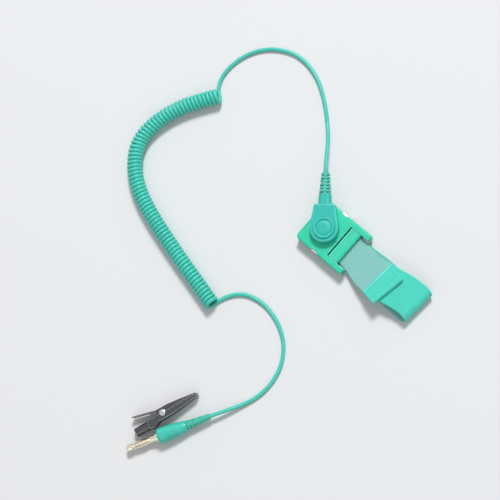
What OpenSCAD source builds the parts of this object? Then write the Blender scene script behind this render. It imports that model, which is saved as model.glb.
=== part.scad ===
// Elastic wrist strap with a lever-lock buckle, a coiled ground cord with a press-stud connector and a
// banana plug, and a plug-on crocodile clip. The strap lies flat: X runs along the band, Z is up and the
// stud's axis is at the origin.

/* [Band] */
// Width of the elastic band where it lies free
band_w = 21; // [18:0.5:23]
// Share of its width that the band keeps where it is drawn through the buckle
band_draw = 0.9; // [0.88:0.01:0.95]
// Thickness of the elastic band
band_t = 1; // [0.8:0.1:1.2]
// Reach of the flattened loop past the stud's axis
loop_reach = 68; // [62:1:90]
// Clear height inside the loop at its open end
end_gap = 5.5; // [5:0.5:6.5]
// Clear height inside the loop at its crest
crest_gap = 7; // [6.5:0.5:8]
// Reach of the free tail past the stud's axis
tail_reach = 50.5; // [48:0.5:56]
// Length of the sewn hem at the end of the tail
hem_len = 9.5; // [6:0.5:12]
// Sideways bow of the loop and the tail beyond the buckle
band_bow = 2.3; // [0:0.1:2.6]
// Further drift of the tail from the bow to its hem
tail_drift = 1.7; // [0:0.1:2.2]

/* [Buckle] */
// Distance from the stud's axis to the plain end of the frame
stud_inset = 10.5; // [9.5:0.5:14]
// Distance from the stud's axis to the window
web_len = 10.2; // [9.2:0.2:13]
// Length of the side arms past the lever
arm_reach = 5.3; // [4:0.5:8]
// Width of each side arm
arm_w = 3.4; // [3.2:0.1:5]
// Radius of the corners of the frame's plain end in plan
frame_corner_r = 2.5; // [1.6:0.1:3.5]
// Radius of the corners of the arms' ends in plan
arm_corner_r = 1.4; // [1:0.1:1.6]
// Radius that rounds the frame's top edges
frame_edge_r = 1; // [0.4:0.1:1.4]
// Thickness of the steel back plate
plate_t = 0.5; // [0.4:0.1:0.8]
// Length of each folded ear of the back plate
ear_len = 4; // [3:0.5:7]
// Radius of the steel bar that the band wraps round
bar_r = 0.8; // [0.6:0.1:1]

/* [Lever] */
// Thickness of the lock lever's flap
lever_t = 1.2; // [0.9:0.1:1.6]
// Radius of the lever's hinge barrel
barrel_r = 1.3; // [1.1:0.1:1.5]
// Radius of the lever's hinge pin
lever_pin_r = 0.6; // [0.4:0.05:0.8]
// Height of the cam's teeth over the barrel
tooth_h = 0.2; // [0.1:0.05:0.25]
// Width of the finger slot at the lever's free edge
finger_slot = 0.8; // [0.5:0.1:1.2]

/* [Snap] */
// Radius of the stud's head, for a 10 mm snap
stud_r = 4.9; // [4.7:0.05:5.1]
// Radius of the stud's neck
stud_neck_r = 4.45; // [4.2:0.05:4.6]
// Radius of the stud's base flange
stud_flange_r = 6.5; // [6:0.1:7.5]
// Height of the stud above the frame
stud_h = 3.2; // [3:0.1:4]
// Diameter of the snap ring's wire
ring_wire = 0.7; // [0.5:0.1:0.8]

/* [Connector] */
// Wall of the connector's head round the socket
head_wall = 2.15; // [1.4:0.05:3]
// Length of the connector's neck, from the snap's axis to the shoulder
neck_len = 13.5; // [12.5:0.5:18]
// Width of the neck at its shoulder
neck_w = 11.8; // [9.4:0.2:12.6]
// Length of the collar past the shoulder
collar_len = 4.9; // [4:0.1:7]
// Width of the collar
collar_w = 7.3; // [6.4:0.1:7.8]
// Length of the ribbed strain relief past the collar
relief_len = 13.1; // [10:0.1:18]
// Number of ribs on each strain relief
relief_ribs = 7; // [4:1:9]

/* [Cord] */
// Diameter of the cord
cord_d = 2.2; // [1.8:0.1:2.4]
// Outer diameter of the coiled stretch
coil_d = 9.1; // [8:0.1:10]

/* [Plug] */
// Radius of the plug's handle at its butt
butt_r = 4.5; // [4:0.1:5.5]
// Length of the handle
handle_len = 17.5; // [16:0.5:24]
// Length of the ribbed sleeve before the handle
sleeve_len = 14; // [10:0.5:18]
// Radius of the plug's pin, for a 4 mm socket
pin_r = 2; // [1.95:0.01:2.05]
// Length of the pin outside the handle
pin_len = 19; // [17:0.5:22]

/* [Clip] */
// Length of the jaws from the pivot to the tip
jaw_len = 22; // [20:0.5:28]
// Length of the arms behind the pivot
arm_len = 19; // [18:0.5:22]
// Depth of each jaw at the pivot
jaw_back = 3.2; // [3.2:0.1:4]
// Height of the clip as it lies on its side
clip_h = 6.6; // [6:0.1:8]
// Thickness of the clip's sheet metal
sheet = 0.6; // [0.5:0.05:0.7]
// Radius of the clip's pivot rivet
pivot_r = 1.1; // [0.8:0.1:1.4]
// Number of teeth along each jaw
jaw_teeth = 7; // [4:1:9]
// Radius of the bore that takes the plug's pin
barrel_bore_r = 2.05; // [2.03:0.01:2.1]

/* [Hidden] */
$fn = 64;

eps = 0.01;            // overshoot of a cut past a face
side_gap = 0.3;        // play of a soft piece beside its neighbour
seat_gap = 0.05;       // play of a piece in its seat
run_gap = 0.05;        // radial play of a turning piece

// Heights of the buckle's stack, from the resting plane up
rivet_head_t = 0.4;
plate_z = band_t + 0.2 + rivet_head_t;                     // underside of the back plate
frame_z = plate_z + plate_t;                               // underside of the frame
pass_z = frame_z + 0.2;                                    // underside of the band in the window
layer_gap = 0.1;                                           // between two layers of the band
wrap_gap = 0.1;                                            // between the bar and the band round it
wrap_r = bar_r + wrap_gap + band_t / 2;                    // to the middle of the band
bar_z = pass_z + band_t / 2 + wrap_r;
tail_z = pass_z + band_t + layer_gap;                      // underside of the tail in the window
lever_z = bar_z + wrap_r + band_t / 2 + side_gap;          // underside of the lever's flap
lever_pin_z = max(tail_z + band_t + side_gap + barrel_r, lever_z + lever_t - barrel_r - 0.3);
lever_top = lever_z + lever_t;
frame_top = lever_top + 0.2;

// Places along the band
window_play = 0.85;                                        // beside the band in the window
window_w = band_w * band_draw + 2 * window_play;
frame_w = window_w + 2 * arm_w;
bar_x = web_len + 0.35 + wrap_r + band_t / 2;
leave_a = 35;                                              // slope at which the tail leaves the bar
cam_r = barrel_r + tooth_h;
cam_teeth = [196:22:284];                                  // places of the teeth round the barrel
slope_top = [bar_x + (wrap_r + band_t / 2) * sin(leave_a), bar_z + (wrap_r + band_t / 2) * cos(leave_a)];
lever_pin_x = slope_top[0]
    + (cam_r + side_gap - cos(leave_a) * (lever_pin_z - slope_top[1])) / sin(leave_a);
lever_x = web_len + finger_slot;                           // free edge of the lever
lever_gap = 0.2;                                           // beside the lever
frame_end = lever_pin_x + barrel_r + arm_reach;
frame_len = stud_inset + frame_end;
bar_hold = 2.6;                                            // depth of a bar or pin in each arm

// The stud and the snap
flange_t = 0.4;
rivet_r = 1.5;
ring_r = stud_neck_r + run_gap + ring_wire / 2;            // to the middle of the ring's wire
ring_z = frame_top + 1.2;
neck_top = ring_z + ring_wire / 2 + 0.1;
bulb_z = frame_top + 0.7 * stud_h;
stud_top = frame_top + stud_h;

// The connector, along its own P axis
conn_turn = 130;                                           // direction in which the cord leaves
conn_z = frame_top + 0.35;                                 // underside of the head
socket_t = 0.5;
socket_in_r = stud_r + 0.15;
groove_r = ring_r + ring_wire / 2 + 0.2;
socket_r = groove_r + socket_t;
socket_top = stud_top + 0.2 + socket_t;
socket_flange_r = socket_r + 0.9;
tab_t = 0.3;
tab_w = 2.4;
tab_top = socket_top + tab_t;
shell_top = tab_top + 0.8;
head_r = socket_r + head_wall;
cap_r = socket_r + 0.2;
cap_rise = 0.9;
dish_r = 4.6;                                              // middle of the cap, inside its rim
groove_depth = 0.7;
axis_z = (conn_z + shell_top) / 2;
head_edge = 1;                                             // rounding of the head's top edge
rim_r = head_r - 0.06;                                     // reach of the flanks across the axis
collar_h = shell_top - conn_z - 0.2;
tab_leg_p = socket_r + 0.4;
resistor_r = 1.15;
resistor_len = 6.3;
resistor_wire_r = 0.3;
chamber_r = resistor_r + 0.4;
stem_p = neck_len + 0.7;                                   // inner end of the relief's stem
resistor_p = stem_p - 0.4 - resistor_len;
crimp_r = 0.95;
crimp_p = stem_p + 0.4;
crimp_len = 2;
collar_end = neck_len + collar_len;
stem_r = min(1.9, collar_h / 2 - 0.3);
relief_tip = collar_end + relief_len;
rib_t = relief_len / relief_ribs * 0.55;                   // thickness of each rib
rib_end_w = 5;                                             // width of the last rib
relief_r = [cord_d / 2 + 0.75, cord_d / 2 + 0.55];         // core at the collar and at the tip

// The plug lies on the floor along its own Q axis
plug_at = [19, -120];
plug_turn = -118;
sleeve_r = [cord_d / 2 + 0.6, 2.7];
sleeve_stem_r = 1.9;
handle_end = sleeve_len + handle_len;
plug_crimp_r = 1.3;
plug_crimp_q = sleeve_len + 2;
plug_crimp_len = 5;
shank_r = 1.5;
shank_q = plug_crimp_q + plug_crimp_len;
plug_shoulder_r = 3;
plug_shoulder_t = 1;
butt_edge = 1.8;                                           // rounding of the butt
butt_land = 3.5;                                           // full round of the handle before its end
pin_root = handle_end + plug_shoulder_t;
pin_land = 3;                                              // full round of the pin at its root
core_r = 1.2;
nose_len = 3.5;
leaf_t = 0.2;
leaf_end_r = core_r + run_gap + leaf_t;
leaf_r = pin_r - 0.03;
leaf_slots = 3;                                            // each slot parts the cage on both sides
pin_tip = handle_end + pin_len;

// The clip lies on its side, with its U axis along the jaws and its pivot upright
clip_at = [-2.4, -136];
clip_turn = 70;
rivet_cap = 0.35;                                          // rivet head below and above the ears
clip_z = rivet_cap;
clip_mid = clip_z + clip_h / 2;
nest = sheet + 0.12;                                       // step from the base's cheek to the jaw's
bite_gap = 0.15;
ear_r = pivot_r + 1.3;
barrel_wall = sheet;
barrel_u = 9;                                              // front of the barrel, behind the pivot
barrel_v = -2.2;
barrel_low = barrel_v - barrel_bore_r - barrel_wall;       // underside of the barrel and the arm
arm_wall = 0.5;                                            // of the arm round the barrel's front
jaw_nose = 1.1;
nose_h = 3.8;                                              // height of the jaws at the tip
spring_wire = 0.6;
spring_turns = 5;
leg_len = 7.2;
leg_turn = [10, 10.5];                                     // spread of the legs on the base and on the jaw
lever_rise = 6.4;                                          // of the thumb lever's end over the bite line

// Route of the cord: it leaves the relief straight, comes down and lies on the floor. Each lead meets the
// coil side on, under the middle of its end, as the first and last turns do.
cord_z = cord_d / 2;
conn_dir = [cos(conn_turn), sin(conn_turn), 0];
plug_dir = [cos(plug_turn), sin(plug_turn), 0];
relief_mouth = relief_tip * conn_dir + [0, 0, axis_z];
plug_mouth = [plug_at[0], plug_at[1], butt_r];
coil_sides = 12;
coil_z = coil_d / 2 * cos(180 / coil_sides);
coil_plan = [[-100.3, 17.7], [-104.9, 11.5], [-109.6, 4.6], [-113.6, -2.8], [-116.6, -10.6], [-118.4, -18.6],
             [-118.6, -26.6], [-116.6, -34.2], [-112.2, -41], [-106.2, -46.8], [-99, -51.4], [-91, -55],
             [-82.5, -57.9], [-73.8, -60.4], [-65, -62.7], [-56.2, -64.9], [-47.5, -66.9], [-39, -68.8],
             [-31, -70.6], [-23.2, -72.4]];
coil_last = len(coil_plan) - 1;
coil_way = [heading(coil_plan, 0), heading(coil_plan, coil_last)];  // direction of the coil at its two ends
coil_left = [for (w = coil_way) [-w[1], w[0]]];
coil_in = coil_plan[0] - (cord_z + seat_gap) * coil_way[0];
coil_out = coil_plan[coil_last] + (cord_z + seat_gap) * coil_way[1];
lead_1 = concat([relief_mouth, relief_mouth + 4 * conn_dir],
    [[-27.2, 32.3, 8.6], [-31.2, 36.9, 5.6], [-35.4, 41.3, 2.9]],
    on_floor([[-40, 45.6], [-45, 50.2], [-50, 54.3], [-55.5, 58.2], [-61.5, 61.6], [-68, 64], [-75, 65.2],
              [-82, 64.8], [-88.5, 62.6], [-94.5, 59], [-99.5, 54.2], [-103.3, 48.4], [-105.8, 42],
              [-107, 35.4], [-106.8, 29.6], [-105.4, 24.8], coil_in - 4 * coil_left[0], coil_in]));
lead_2 = concat(
    on_floor([coil_out, coil_out + 4 * coil_left[1], [-18.6, -63.4], [-15, -59], [-10.4, -56], [-4.8, -54.4],
              [1.2, -54], [7.2, -54.9], [12.8, -56.7], [18, -59.4], [22.6, -62.9], [26.4, -67.3],
              [29.4, -72.4], [31.3, -78], [32.2, -84], [32, -90.2], [30.8, -96.2]]),
    [[28.8, -101.4, 1.4], [26.2, -106.6, 2.5], [23.7, -111.4, 3.7]],
    [plug_mouth - 4 * plug_dir, plug_mouth]);

// Points of a plan at the height of a cord that lies on the floor
function on_floor(plan) = [for (p = plan) [p[0], p[1], cord_z]];

// Points on an arc in a plane
function arc(c, r, a0, a1, n) =
    [for (i = [0:n]) let (a = a0 + (a1 - a0) * i / n) c + r * [cos(a), sin(a)]];

function unit(v) = v / norm(v);

// Direction of a path at its point i
function heading(p, i) = unit(p[min(i + 1, len(p) - 1)] - p[max(i - 1, 0)]);

// A flat path moved sideways, to its left
function beside(p, d) = [for (i = [0:len(p) - 1]) let (h = heading(p, i)) p[i] + d * [-h[1], h[0]]];

function reversed(p) = [for (i = [len(p) - 1:-1:0]) p[i]];

// A strip of even thickness along a flat path
module strip(path, t) polygon(concat(beside(path, t / 2), reversed(beside(path, -t / 2))));

// Faces of a solid whose rings of n points follow one another
function ring_faces(rings, n) = concat(
    [for (i = [0:rings - 2], k = [0:n - 1])
        [i * n + k, i * n + (k + 1) % n, (i + 1) * n + (k + 1) % n, (i + 1) * n + k]],
    [[for (k = [n - 1:-1:0]) k], [for (k = [0:n - 1]) (rings - 1) * n + k]]);

// A band of even width and thickness through stations, each a middle point and a direction across
module ribbon(stations, w, t) {
    middles = [for (s = stations) s[0]];
    polyhedron([for (i = [0:len(stations) - 1])
        let (c = middles[i], a = stations[i][1] * w / 2, n = unit(cross(heading(middles, i), a)) * t / 2)
        for (p = [c + n - a, c + n + a, c - n + a, c - n - a]) p],
        ring_faces(len(stations), 4), convexity = 10);
}

// A tube with n sides through its route's own points
module tube(route, r, n) {
    rings = len(route);
    points = [for (i = [0:rings - 1])
        let (d = heading(route, i), s = unit(cross(d, [0, 0, 1])), u = cross(s, d))
        for (k = [0:n - 1]) let (a = 360 * (k + 0.5) / n) route[i] + r * (cos(a) * s + sin(a) * u)];
    polyhedron(points, ring_faces(rings, n), convexity = 10);
}

// A flat shape in X and Z, drawn out evenly to both sides of the strap's middle
module across(w) translate([0, w / 2, 0]) rotate([90, 0, 0]) linear_extrude(w) children();

// A rod across the strap
module cross_rod(x, z, r, w) translate([x, w / 2, z]) rotate([90, 0, 0]) cylinder(r = r, h = w);

// A rod along +X, from a to b
module rod(a, b, r) translate([a, 0, 0]) rotate([0, 90, 0]) cylinder(r = r, h = b - a);

// The connector's own axis, with the cord leaving along +X
module on_connector() rotate([0, 0, conn_turn]) children();
module on_cord_axis() on_connector() translate([0, 0, axis_z]) children();

// The plug's own axis, with the pin pointing along +X
module on_plug() translate([plug_at[0], plug_at[1], butt_r]) rotate([0, 0, plug_turn]) children();

// The clip's own axes, with the jaws along +X and the pivot at the origin
module on_clip() translate([clip_at[0], clip_at[1], 0]) rotate([0, 0, clip_turn]) children();

// A rectangle from its low corner, with corners of radius r at its low end and q at its high end
module round_rect(size, r, q) {
    translate([r, 0]) square([size[0] - r - q, size[1]]);
    translate([0, r]) square([size[0] - q, size[1] - 2 * r]);
    translate([r, q]) square([size[0] - r, size[1] - 2 * q]);
    for (c = [[r, r], [size[0] - q, q]], y = [c[1], size[1] - c[1]]) translate([c[0], y]) circle(c[1]);
}

// A rectangle from its low corner, with its two top corners rounded by radius e
module soft_top(size, e) polygon(concat([[0, 0], [size[0], 0]],
    arc([size[0] - e, size[1] - e], e, 0, 90, 5), arc([e, size[1] - e], e, 90, 180, 5)));

// A slab with upright corners of radius r at its low end and q at its high end, and top edges rounded by e
module soft_slab(size, r, q, e) intersection() {
    linear_extrude(size[2]) round_rect([size[0], size[1]], r, q);
    translate([-1, 0, 0]) rotate([90, 0, 90]) linear_extrude(size[0] + 2) soft_top([size[1], size[2]], e);
    translate([0, size[1] + 1, 0]) rotate([90, 0, 0])
        linear_extrude(size[1] + 2) soft_top([size[0], size[2]], e);
}

// A slot with round ends, standing across the axis of a rod
module oval_plate(a, b, w, h) translate([a, 0, 0]) rotate([90, 0, 90]) linear_extrude(b - a) oval(w, h);
module oval(w, h) {
    square([w - h, h], center = true);
    for (s = [-1, 1]) translate([s * (w - h) / 2, 0]) circle(h / 2, $fn = 32);
}

// ---- Wristband ----

fold_r = frame_z / 2;                                      // of the fold under the plate's plain end
fold_x = 0.15 + fold_r + band_t / 2 - stud_inset;
clamp_end = 6;
end_r = (end_gap + band_t) / 2;                            // of the loop's open end
end_x = loop_reach - end_r - band_t / 2;
climb_x = frame_end + 1;                                   // where the loop's upper layer climbs
crest_x = frame_end + 25;                                  // where it is highest
tail_lift = 0.1;                                           // more room under the tail beyond the buckle
bend_r = 1.5;
hem_gap = 0.3;
hem_r = (band_t + hem_gap) / 2;
hem_x = tail_reach - hem_r - band_t / 2;
hem_a = 60;                                                // slope at which the hem's fold starts
bow_x = frame_end - 4.5;                                   // where the loop and the tail turn aside
dip_x = frame_end + 13;                                    // where both lie furthest aside
return_x = end_x - 2.2;                                    // where the loop's upper layer has come back
loop_swing = 3.7;                                          // way of that layer from the bow to its end
base_swing = -1;                                           // drift of the lower layer by the open end
fold_turn = -4;                                            // turn of the open end in plan
turn_len = 12;                                             // length over which the layers take that turn

// A smooth rise from 0 to 1
function swell(f) = let (g = max(0, min(1, f))) (1 - cos(180 * g)) / 2;

// Height of the middle of the loop's upper layer, from the window over its crest to the open end, its
// slope, and the height of the tail on it
function loop_mid(x) =
    let (low = pass_z + band_t / 2, top = 1.5 * band_t + crest_gap, end = 1.5 * band_t + end_gap)
    x < crest_x ? low + (top - low) * swell((x - climb_x) / (crest_x - climb_x))
                : top - (top - end) * swell((x - crest_x) / (end_x - crest_x));
function slope(x) = (loop_mid(x + eps) - loop_mid(x)) / eps;
function tail_mid(x) = loop_mid(x)
    + (band_t + layer_gap + tail_lift * swell((x - frame_end) / turn_len)) * norm([1, slope(x)]);

// Width of the band, as a share of its free width
function breadth(x) = band_draw + (1 - band_draw) * swell((x - frame_end) / (dip_x + 4 - frame_end));

// Sideways drift of the upper layer, the tail and the lower layer, and the turn of a layer that drifts so
function bow(x) = -band_bow * swell((x - bow_x) / (dip_x - bow_x));
function loop_sway(x) = bow(x) + loop_swing * swell((x - dip_x) / (return_x - dip_x));
function tail_sway(x) = bow(x) - tail_drift * pow(max(0, x - dip_x) / (tail_reach - dip_x), 1.6);
function base_sway(x) = base_swing * swell((x - frame_end) / (end_x - frame_end));
function end_turn(x) = fold_turn * swell((x - end_x + turn_len) / turn_len);

// A station of the band at x: its middle, and a direction across whose sides keep to the layer's slope
function station(x, y, z, a, climb) = [[x, y, z], breadth(x) * unit([-sin(a), cos(a), -sin(a) * climb])];
function on_base(x) = station(x, base_sway(x), band_t / 2, end_turn(x), 0);
function on_loop(x) = let (a = atan((loop_sway(x + eps) - loop_sway(x)) / eps) + end_turn(x))
    station(x, loop_sway(x), loop_mid(x), a, slope(x));
function on_tail(x, z) = let (a = atan((tail_sway(x + eps) - tail_sway(x)) / eps))
    station(x, tail_sway(x), z, a, slope(x));

// The band from the clamped end: fold under the plate, loop, and wrap round the bar
function loop_stations() = concat([station(clamp_end, 0, frame_z + band_t / 2, 0, 0)],
    [for (p = arc([fold_x, fold_r + band_t / 2], fold_r, 90, 270, 8)) station(p[0], 0, p[1], 0, 0)],
    [for (i = [1:12]) on_base(frame_end + (end_x - frame_end) * i / 12 - eps)],
    [for (i = [1:11]) let (a = -90 + 15 * i, f = i / 12)
        station(end_x + end_r * cos(a), base_sway(end_x) * (1 - f) + loop_sway(end_x) * f,
                end_r + band_t / 2 + end_r * sin(a), fold_turn, 0)],
    [for (i = [10:-1:1]) on_loop(crest_x + (end_x - crest_x) * i / 10)],
    [for (i = [14:-1:0]) on_loop(climb_x + (crest_x - climb_x) * i / 14)],
    [for (p = arc([bar_x, bar_z], wrap_r, -90, -wrap_a - leave_a, 10)) station(p[0], 0, p[1], 0, 0)]);

// The tail, from the foot of its slope to the hem that is turned back over it
wrap_a = 270;                                              // of the band round the bar, before its slope
leave = [bar_x + wrap_r * sin(leave_a), bar_z + wrap_r * cos(leave_a)];
foot = tail_z + band_t / 2;
bend_x = leave[0] + bend_r * sin(leave_a) + (leave[1] - foot - bend_r * (1 - cos(leave_a))) / tan(leave_a);
function tail_stations() = concat(
    [for (p = arc([bend_x, foot + bend_r], bend_r, wrap_a - leave_a, wrap_a, 3))
        station(p[0], 0, p[1], 0, 0)],
    [for (i = [0:17]) let (x = bend_x + 1 + (hem_x - bend_x - 1) * i / 17) on_tail(x, tail_mid(x))],
    [for (p = arc([hem_x, tail_mid(hem_x) + hem_r], hem_r, -hem_a, 90, 5)) on_tail(p[0], p[1])],
    [for (i = [1:4]) let (x = hem_x + (tail_reach - hem_len - hem_x) * i / 4)
        on_tail(x, tail_mid(x) + 2 * hem_r * norm([1, slope(x)]))]);

module band() color([0.31, 0.84, 0.76]) difference() {
    ribbon(concat(loop_stations(), tail_stations()), band_w, band_t);
    translate([0, 0, frame_z - eps]) cylinder(r = rivet_r + 2 * seat_gap, h = band_t + 2 * eps);
}

module buckle_frame() color([0.25, 0.86, 0.69]) difference() {
    translate([-stud_inset, -frame_w / 2, frame_z])
        soft_slab([frame_len, frame_w, frame_top - frame_z], frame_corner_r, arm_corner_r, frame_edge_r);
    // window, open at the far end
    translate([web_len, -window_w / 2, frame_z - 1]) cube([frame_len, window_w, frame_top]);
    // pocket for the clamped end of the band
    translate([-stud_inset - 1, -window_w / 2, frame_z - 1])
        cube([stud_inset + 1 + clamp_end + side_gap, window_w, 1 + band_t + seat_gap]);
    // seat of the stud and the hole of its rivet
    translate([0, 0, frame_top - flange_t]) cylinder(r = stud_flange_r + 2 * seat_gap, h = 2);
    cylinder(r = rivet_r + seat_gap, h = frame_top + 1);
    // blind holes of the bar and the lever's pin
    cross_rod(bar_x, bar_z, bar_r, window_w + 2 * bar_hold);
    cross_rod(lever_pin_x, lever_pin_z, lever_pin_r, window_w + 2 * bar_hold);
    // notches of the plate's ears
    for (s = [-1, 1]) translate([ear_x, s * frame_w / 2, 0]) {
        translate([-seat_gap, -notch_d, 0]) cube([ear_len + 2 * seat_gap, 2 * notch_d, frame_top + 1]);
        translate([-seat_gap, -lip_len, ledge_z]) cube([ear_len + 2 * seat_gap, 2 * lip_len, frame_top]);
    }
}

ear_x = 1.2;
notch_d = 0.3;                                             // depth of the ear's notch in the frame's side
lip_len = 1.1;                                             // reach of the ear's lip over the frame
ledge_z = frame_top - 1.3;
plate_end = fold_x + 0.1;                                  // plate's edge inside the band's fold
plate_inset = 0.6;                                         // plate's edge inside the frame's other sides

// One ear: it leaves the plate, turns up in its notch and its lip folds over the ledge
module ear() {
    out = frame_w / 2 - notch_d + plate_t / 2;
    r = plate_t / 2 + 0.02;
    low = plate_z + plate_t / 2;
    high = ledge_z + plate_t / 2;
    path = concat([[out - r - 1.2, low]], arc([out - r, low + r], r, -90, 0, 4),
                  arc([out - r, high - r], r, 0, 90, 4), [[frame_w / 2 - lip_len + 0.1, high]]);
    translate([ear_x, 0, 0]) rotate([90, 0, 90]) linear_extrude(ear_len) strip(path, plate_t);
}

module back_plate() color([0.8, 0.81, 0.83]) difference() {
    union() {
        translate([plate_end, plate_inset - frame_w / 2, plate_z]) linear_extrude(plate_t)
            round_rect([frame_end - plate_inset - plate_end, frame_w - 2 * plate_inset],
                       frame_corner_r - plate_inset, arm_corner_r - plate_inset);
        ear();
        mirror([0, 1, 0]) ear();
    }
    translate([0, 0, plate_z - 1]) cylinder(r = rivet_r + seat_gap, h = plate_t + 2);
}

module snap_stud() color([0.86, 0.86, 0.84]) rotate_extrude() {
    hole = rivet_r + seat_gap;
    translate([hole, frame_top - flange_t]) square([stud_flange_r - hole, flange_t]);
    polygon([[stud_neck_r - 1.5, frame_top - eps], [stud_neck_r, frame_top - eps], [stud_neck_r, neck_top],
             [stud_r, bulb_z], [stud_r, bulb_z + 0.2], [stud_r - 0.3, stud_top - 0.3],
             [stud_r - 0.9, stud_top], [stud_neck_r - 1, stud_top], [stud_neck_r - 1.5, stud_top - 0.5]]);
}

module stud_rivet() color([0.8, 0.78, 0.72]) rotate_extrude() {
    translate([0, plate_z - rivet_head_t]) polygon([[0, 0], [3.6, 0], [4, rivet_head_t / 2],
                                                    [4, rivet_head_t], [0, rivet_head_t]]);
    translate([0, plate_z - eps]) square([rivet_r, frame_top - plate_z + 0.3]);
    translate([0, frame_top]) polygon([[0, 0], [2.5, 0], [2.6, 0.25], [2.2, 0.6], [0, 0.6]]);
}

module wrap_bar() color([0.75, 0.76, 0.78]) cross_rod(bar_x, bar_z, bar_r, window_w + 2 * bar_hold);

module lever_pin() color([0.75, 0.76, 0.78])
    cross_rod(lever_pin_x, lever_pin_z, lever_pin_r, window_w + 2 * bar_hold);

// Lock lever: a flap over the wrap, a hinge barrel and a toothed cam that bites the tail
module lock_lever() color([0.33, 0.88, 0.76]) across(window_w - 2 * lever_gap) difference() {
    union() {
        translate([lever_pin_x, lever_pin_z]) {
            circle(barrel_r);
            for (a = cam_teeth) rotate(a) translate([barrel_r, 0])
                polygon([[-tooth_h, -tooth_h * 2], [tooth_h, 0], [-tooth_h, tooth_h * 2]]);
        }
        polygon([[lever_x + 0.3, lever_z], [lever_pin_x - barrel_r, lever_z], [lever_pin_x, lever_pin_z],
                 [lever_pin_x, lever_pin_z + barrel_r], [lever_pin_x - 0.8, lever_top],
                 [lever_x + 0.5, lever_top], [lever_x, lever_top - 0.4], [lever_x, lever_z + 0.3]]);
    }
    translate([lever_pin_x, lever_pin_z]) circle(lever_pin_r + run_gap);
}

// ---- Connector ----

// Wire ring that grips the stud's neck inside the socket
module snap_spring() color([0.8, 0.8, 0.8]) translate([0, 0, ring_z]) rotate([0, 0, 20])
    rotate_extrude(angle = 320) translate([ring_r, 0]) circle(ring_wire / 2, $fn = 24);

module snap_socket() color([0.83, 0.83, 0.81]) rotate_extrude() difference() {
    union() {
        translate([0, conn_z]) square([socket_r, socket_top - conn_z]);
        translate([0, conn_z]) square([socket_flange_r, 0.35]);
    }
    translate([-1, conn_z - 1]) square([socket_in_r + 1, socket_top - socket_t - conn_z + 1]);
    translate([0, ring_z - ring_wire / 2 - 0.1]) square([groove_r, ring_wire + 0.2]);
}

// Brass tab from the socket's top down to the resistor's wire
module contact_tab() color([0.82, 0.68, 0.38]) on_connector() {
    translate([0, 0, socket_top]) linear_extrude(tab_t) union() {
        circle(3);
        translate([0, -tab_w / 2]) square([tab_leg_p + tab_t, tab_w]);
    }
    translate([tab_leg_p, -tab_w / 2, axis_z - 1]) cube([tab_t, tab_w, tab_top - axis_z + 1]);
}

// One-megohm series resistor that limits the current
module limit_resistor() color([0.62, 0.74, 0.82]) on_cord_axis() {
    rod(tab_leg_p + tab_t, crimp_p, resistor_wire_r);
    translate([resistor_p, 0, 0]) rotate([0, 90, 0]) rotate_extrude() polygon([
        [0, 0], [resistor_r - 0.35, 0], [resistor_r, 0.35], [resistor_r, 1.3], [resistor_r - 0.2, 1.6],
        [resistor_r - 0.2, resistor_len - 1.6], [resistor_r, resistor_len - 1.3],
        [resistor_r, resistor_len - 0.35], [resistor_r - 0.35, resistor_len], [0, resistor_len]]);
}

module resistor_crimp() color([0.82, 0.68, 0.38]) on_cord_axis() rod(crimp_p, crimp_p + crimp_len, crimp_r);

// Half of the neck's outline: everything inside one flank, which runs on from the head's rim
module flank(side) {
    half = norm([neck_len, neck_w / 2]);
    turn = atan2(neck_len, neck_w / 2) - acos(rim_r / half);
    h = shell_top - conn_z;
    mirror([0, side < 0 ? 1 : 0]) rotate([0, 0, -turn]) translate([-20, 0, conn_z]) rotate([90, 0, 90])
        linear_extrude(60) polygon(concat([[-30, 0], [rim_r - 0.4, 0], [rim_r, 0.5]],
            arc([rim_r - head_edge, h - head_edge], head_edge, 0, 90, 5), [[-30, h]]));
}

module connector_shell() color([0.27, 0.8, 0.74]) on_connector() difference() {
    union() {
        translate([0, 0, conn_z]) rotate_extrude() polygon(concat([[0, 0], [head_r - 0.4, 0], [head_r, 0.5]],
            arc([head_r - head_edge, shell_top - conn_z - head_edge], head_edge, 0, 90, 5),
            [[0, shell_top - conn_z]]));
        intersection() {
            flank(1);
            flank(-1);
            across(40) translate([0, conn_z]) soft_top([neck_len, shell_top - conn_z], 0.7);
        }
        translate([0, 0, axis_z]) oval_plate(neck_len - 1, collar_end, collar_w, collar_h);
    }
    // seat of the socket, its flange, and the cap
    translate([0, 0, conn_z - 1]) cylinder(r = socket_r + seat_gap, h = tab_top - conn_z + 1.2);
    translate([0, 0, conn_z - 1]) cylinder(r = socket_flange_r + seat_gap, h = 1.4);
    translate([0, 0, tab_top]) cylinder(r = cap_r + seat_gap, h = 2);
    // way of the tab, chamber of the resistor, and bore of the relief's stem
    translate([0, -tab_w / 2 - 0.2, axis_z - 1.2])
        cube([tab_leg_p + tab_t + 0.4, tab_w + 0.4, tab_top - axis_z + 1.2]);
    translate([0, 0, axis_z]) {
        rod(tab_leg_p - 0.4, stem_p + 0.2, chamber_r);
        rod(stem_p, collar_end + 1, stem_r);
    }
}

// Round cap: a rounded rim, a groove and a gently domed middle
module connector_cap() color([0.3, 0.83, 0.77]) rotate_extrude() translate([0, tab_top]) {
    top = shell_top - tab_top + cap_rise;
    rim_w = 0.45;
    polygon(concat([[0, 0], [cap_r, 0]], arc([cap_r - 0.6, top - 0.6], 0.6, 0, 90, 5),
                   arc([dish_r + rim_w, top - rim_w], rim_w, 90, 180, 4),
                   [[dish_r, top - groove_depth], [dish_r - 0.4, top - groove_depth],
                    [dish_r - 0.8, top - groove_depth + 0.3], [dish_r / 2, top - 0.2], [0, top - 0.1]]));
}

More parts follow.
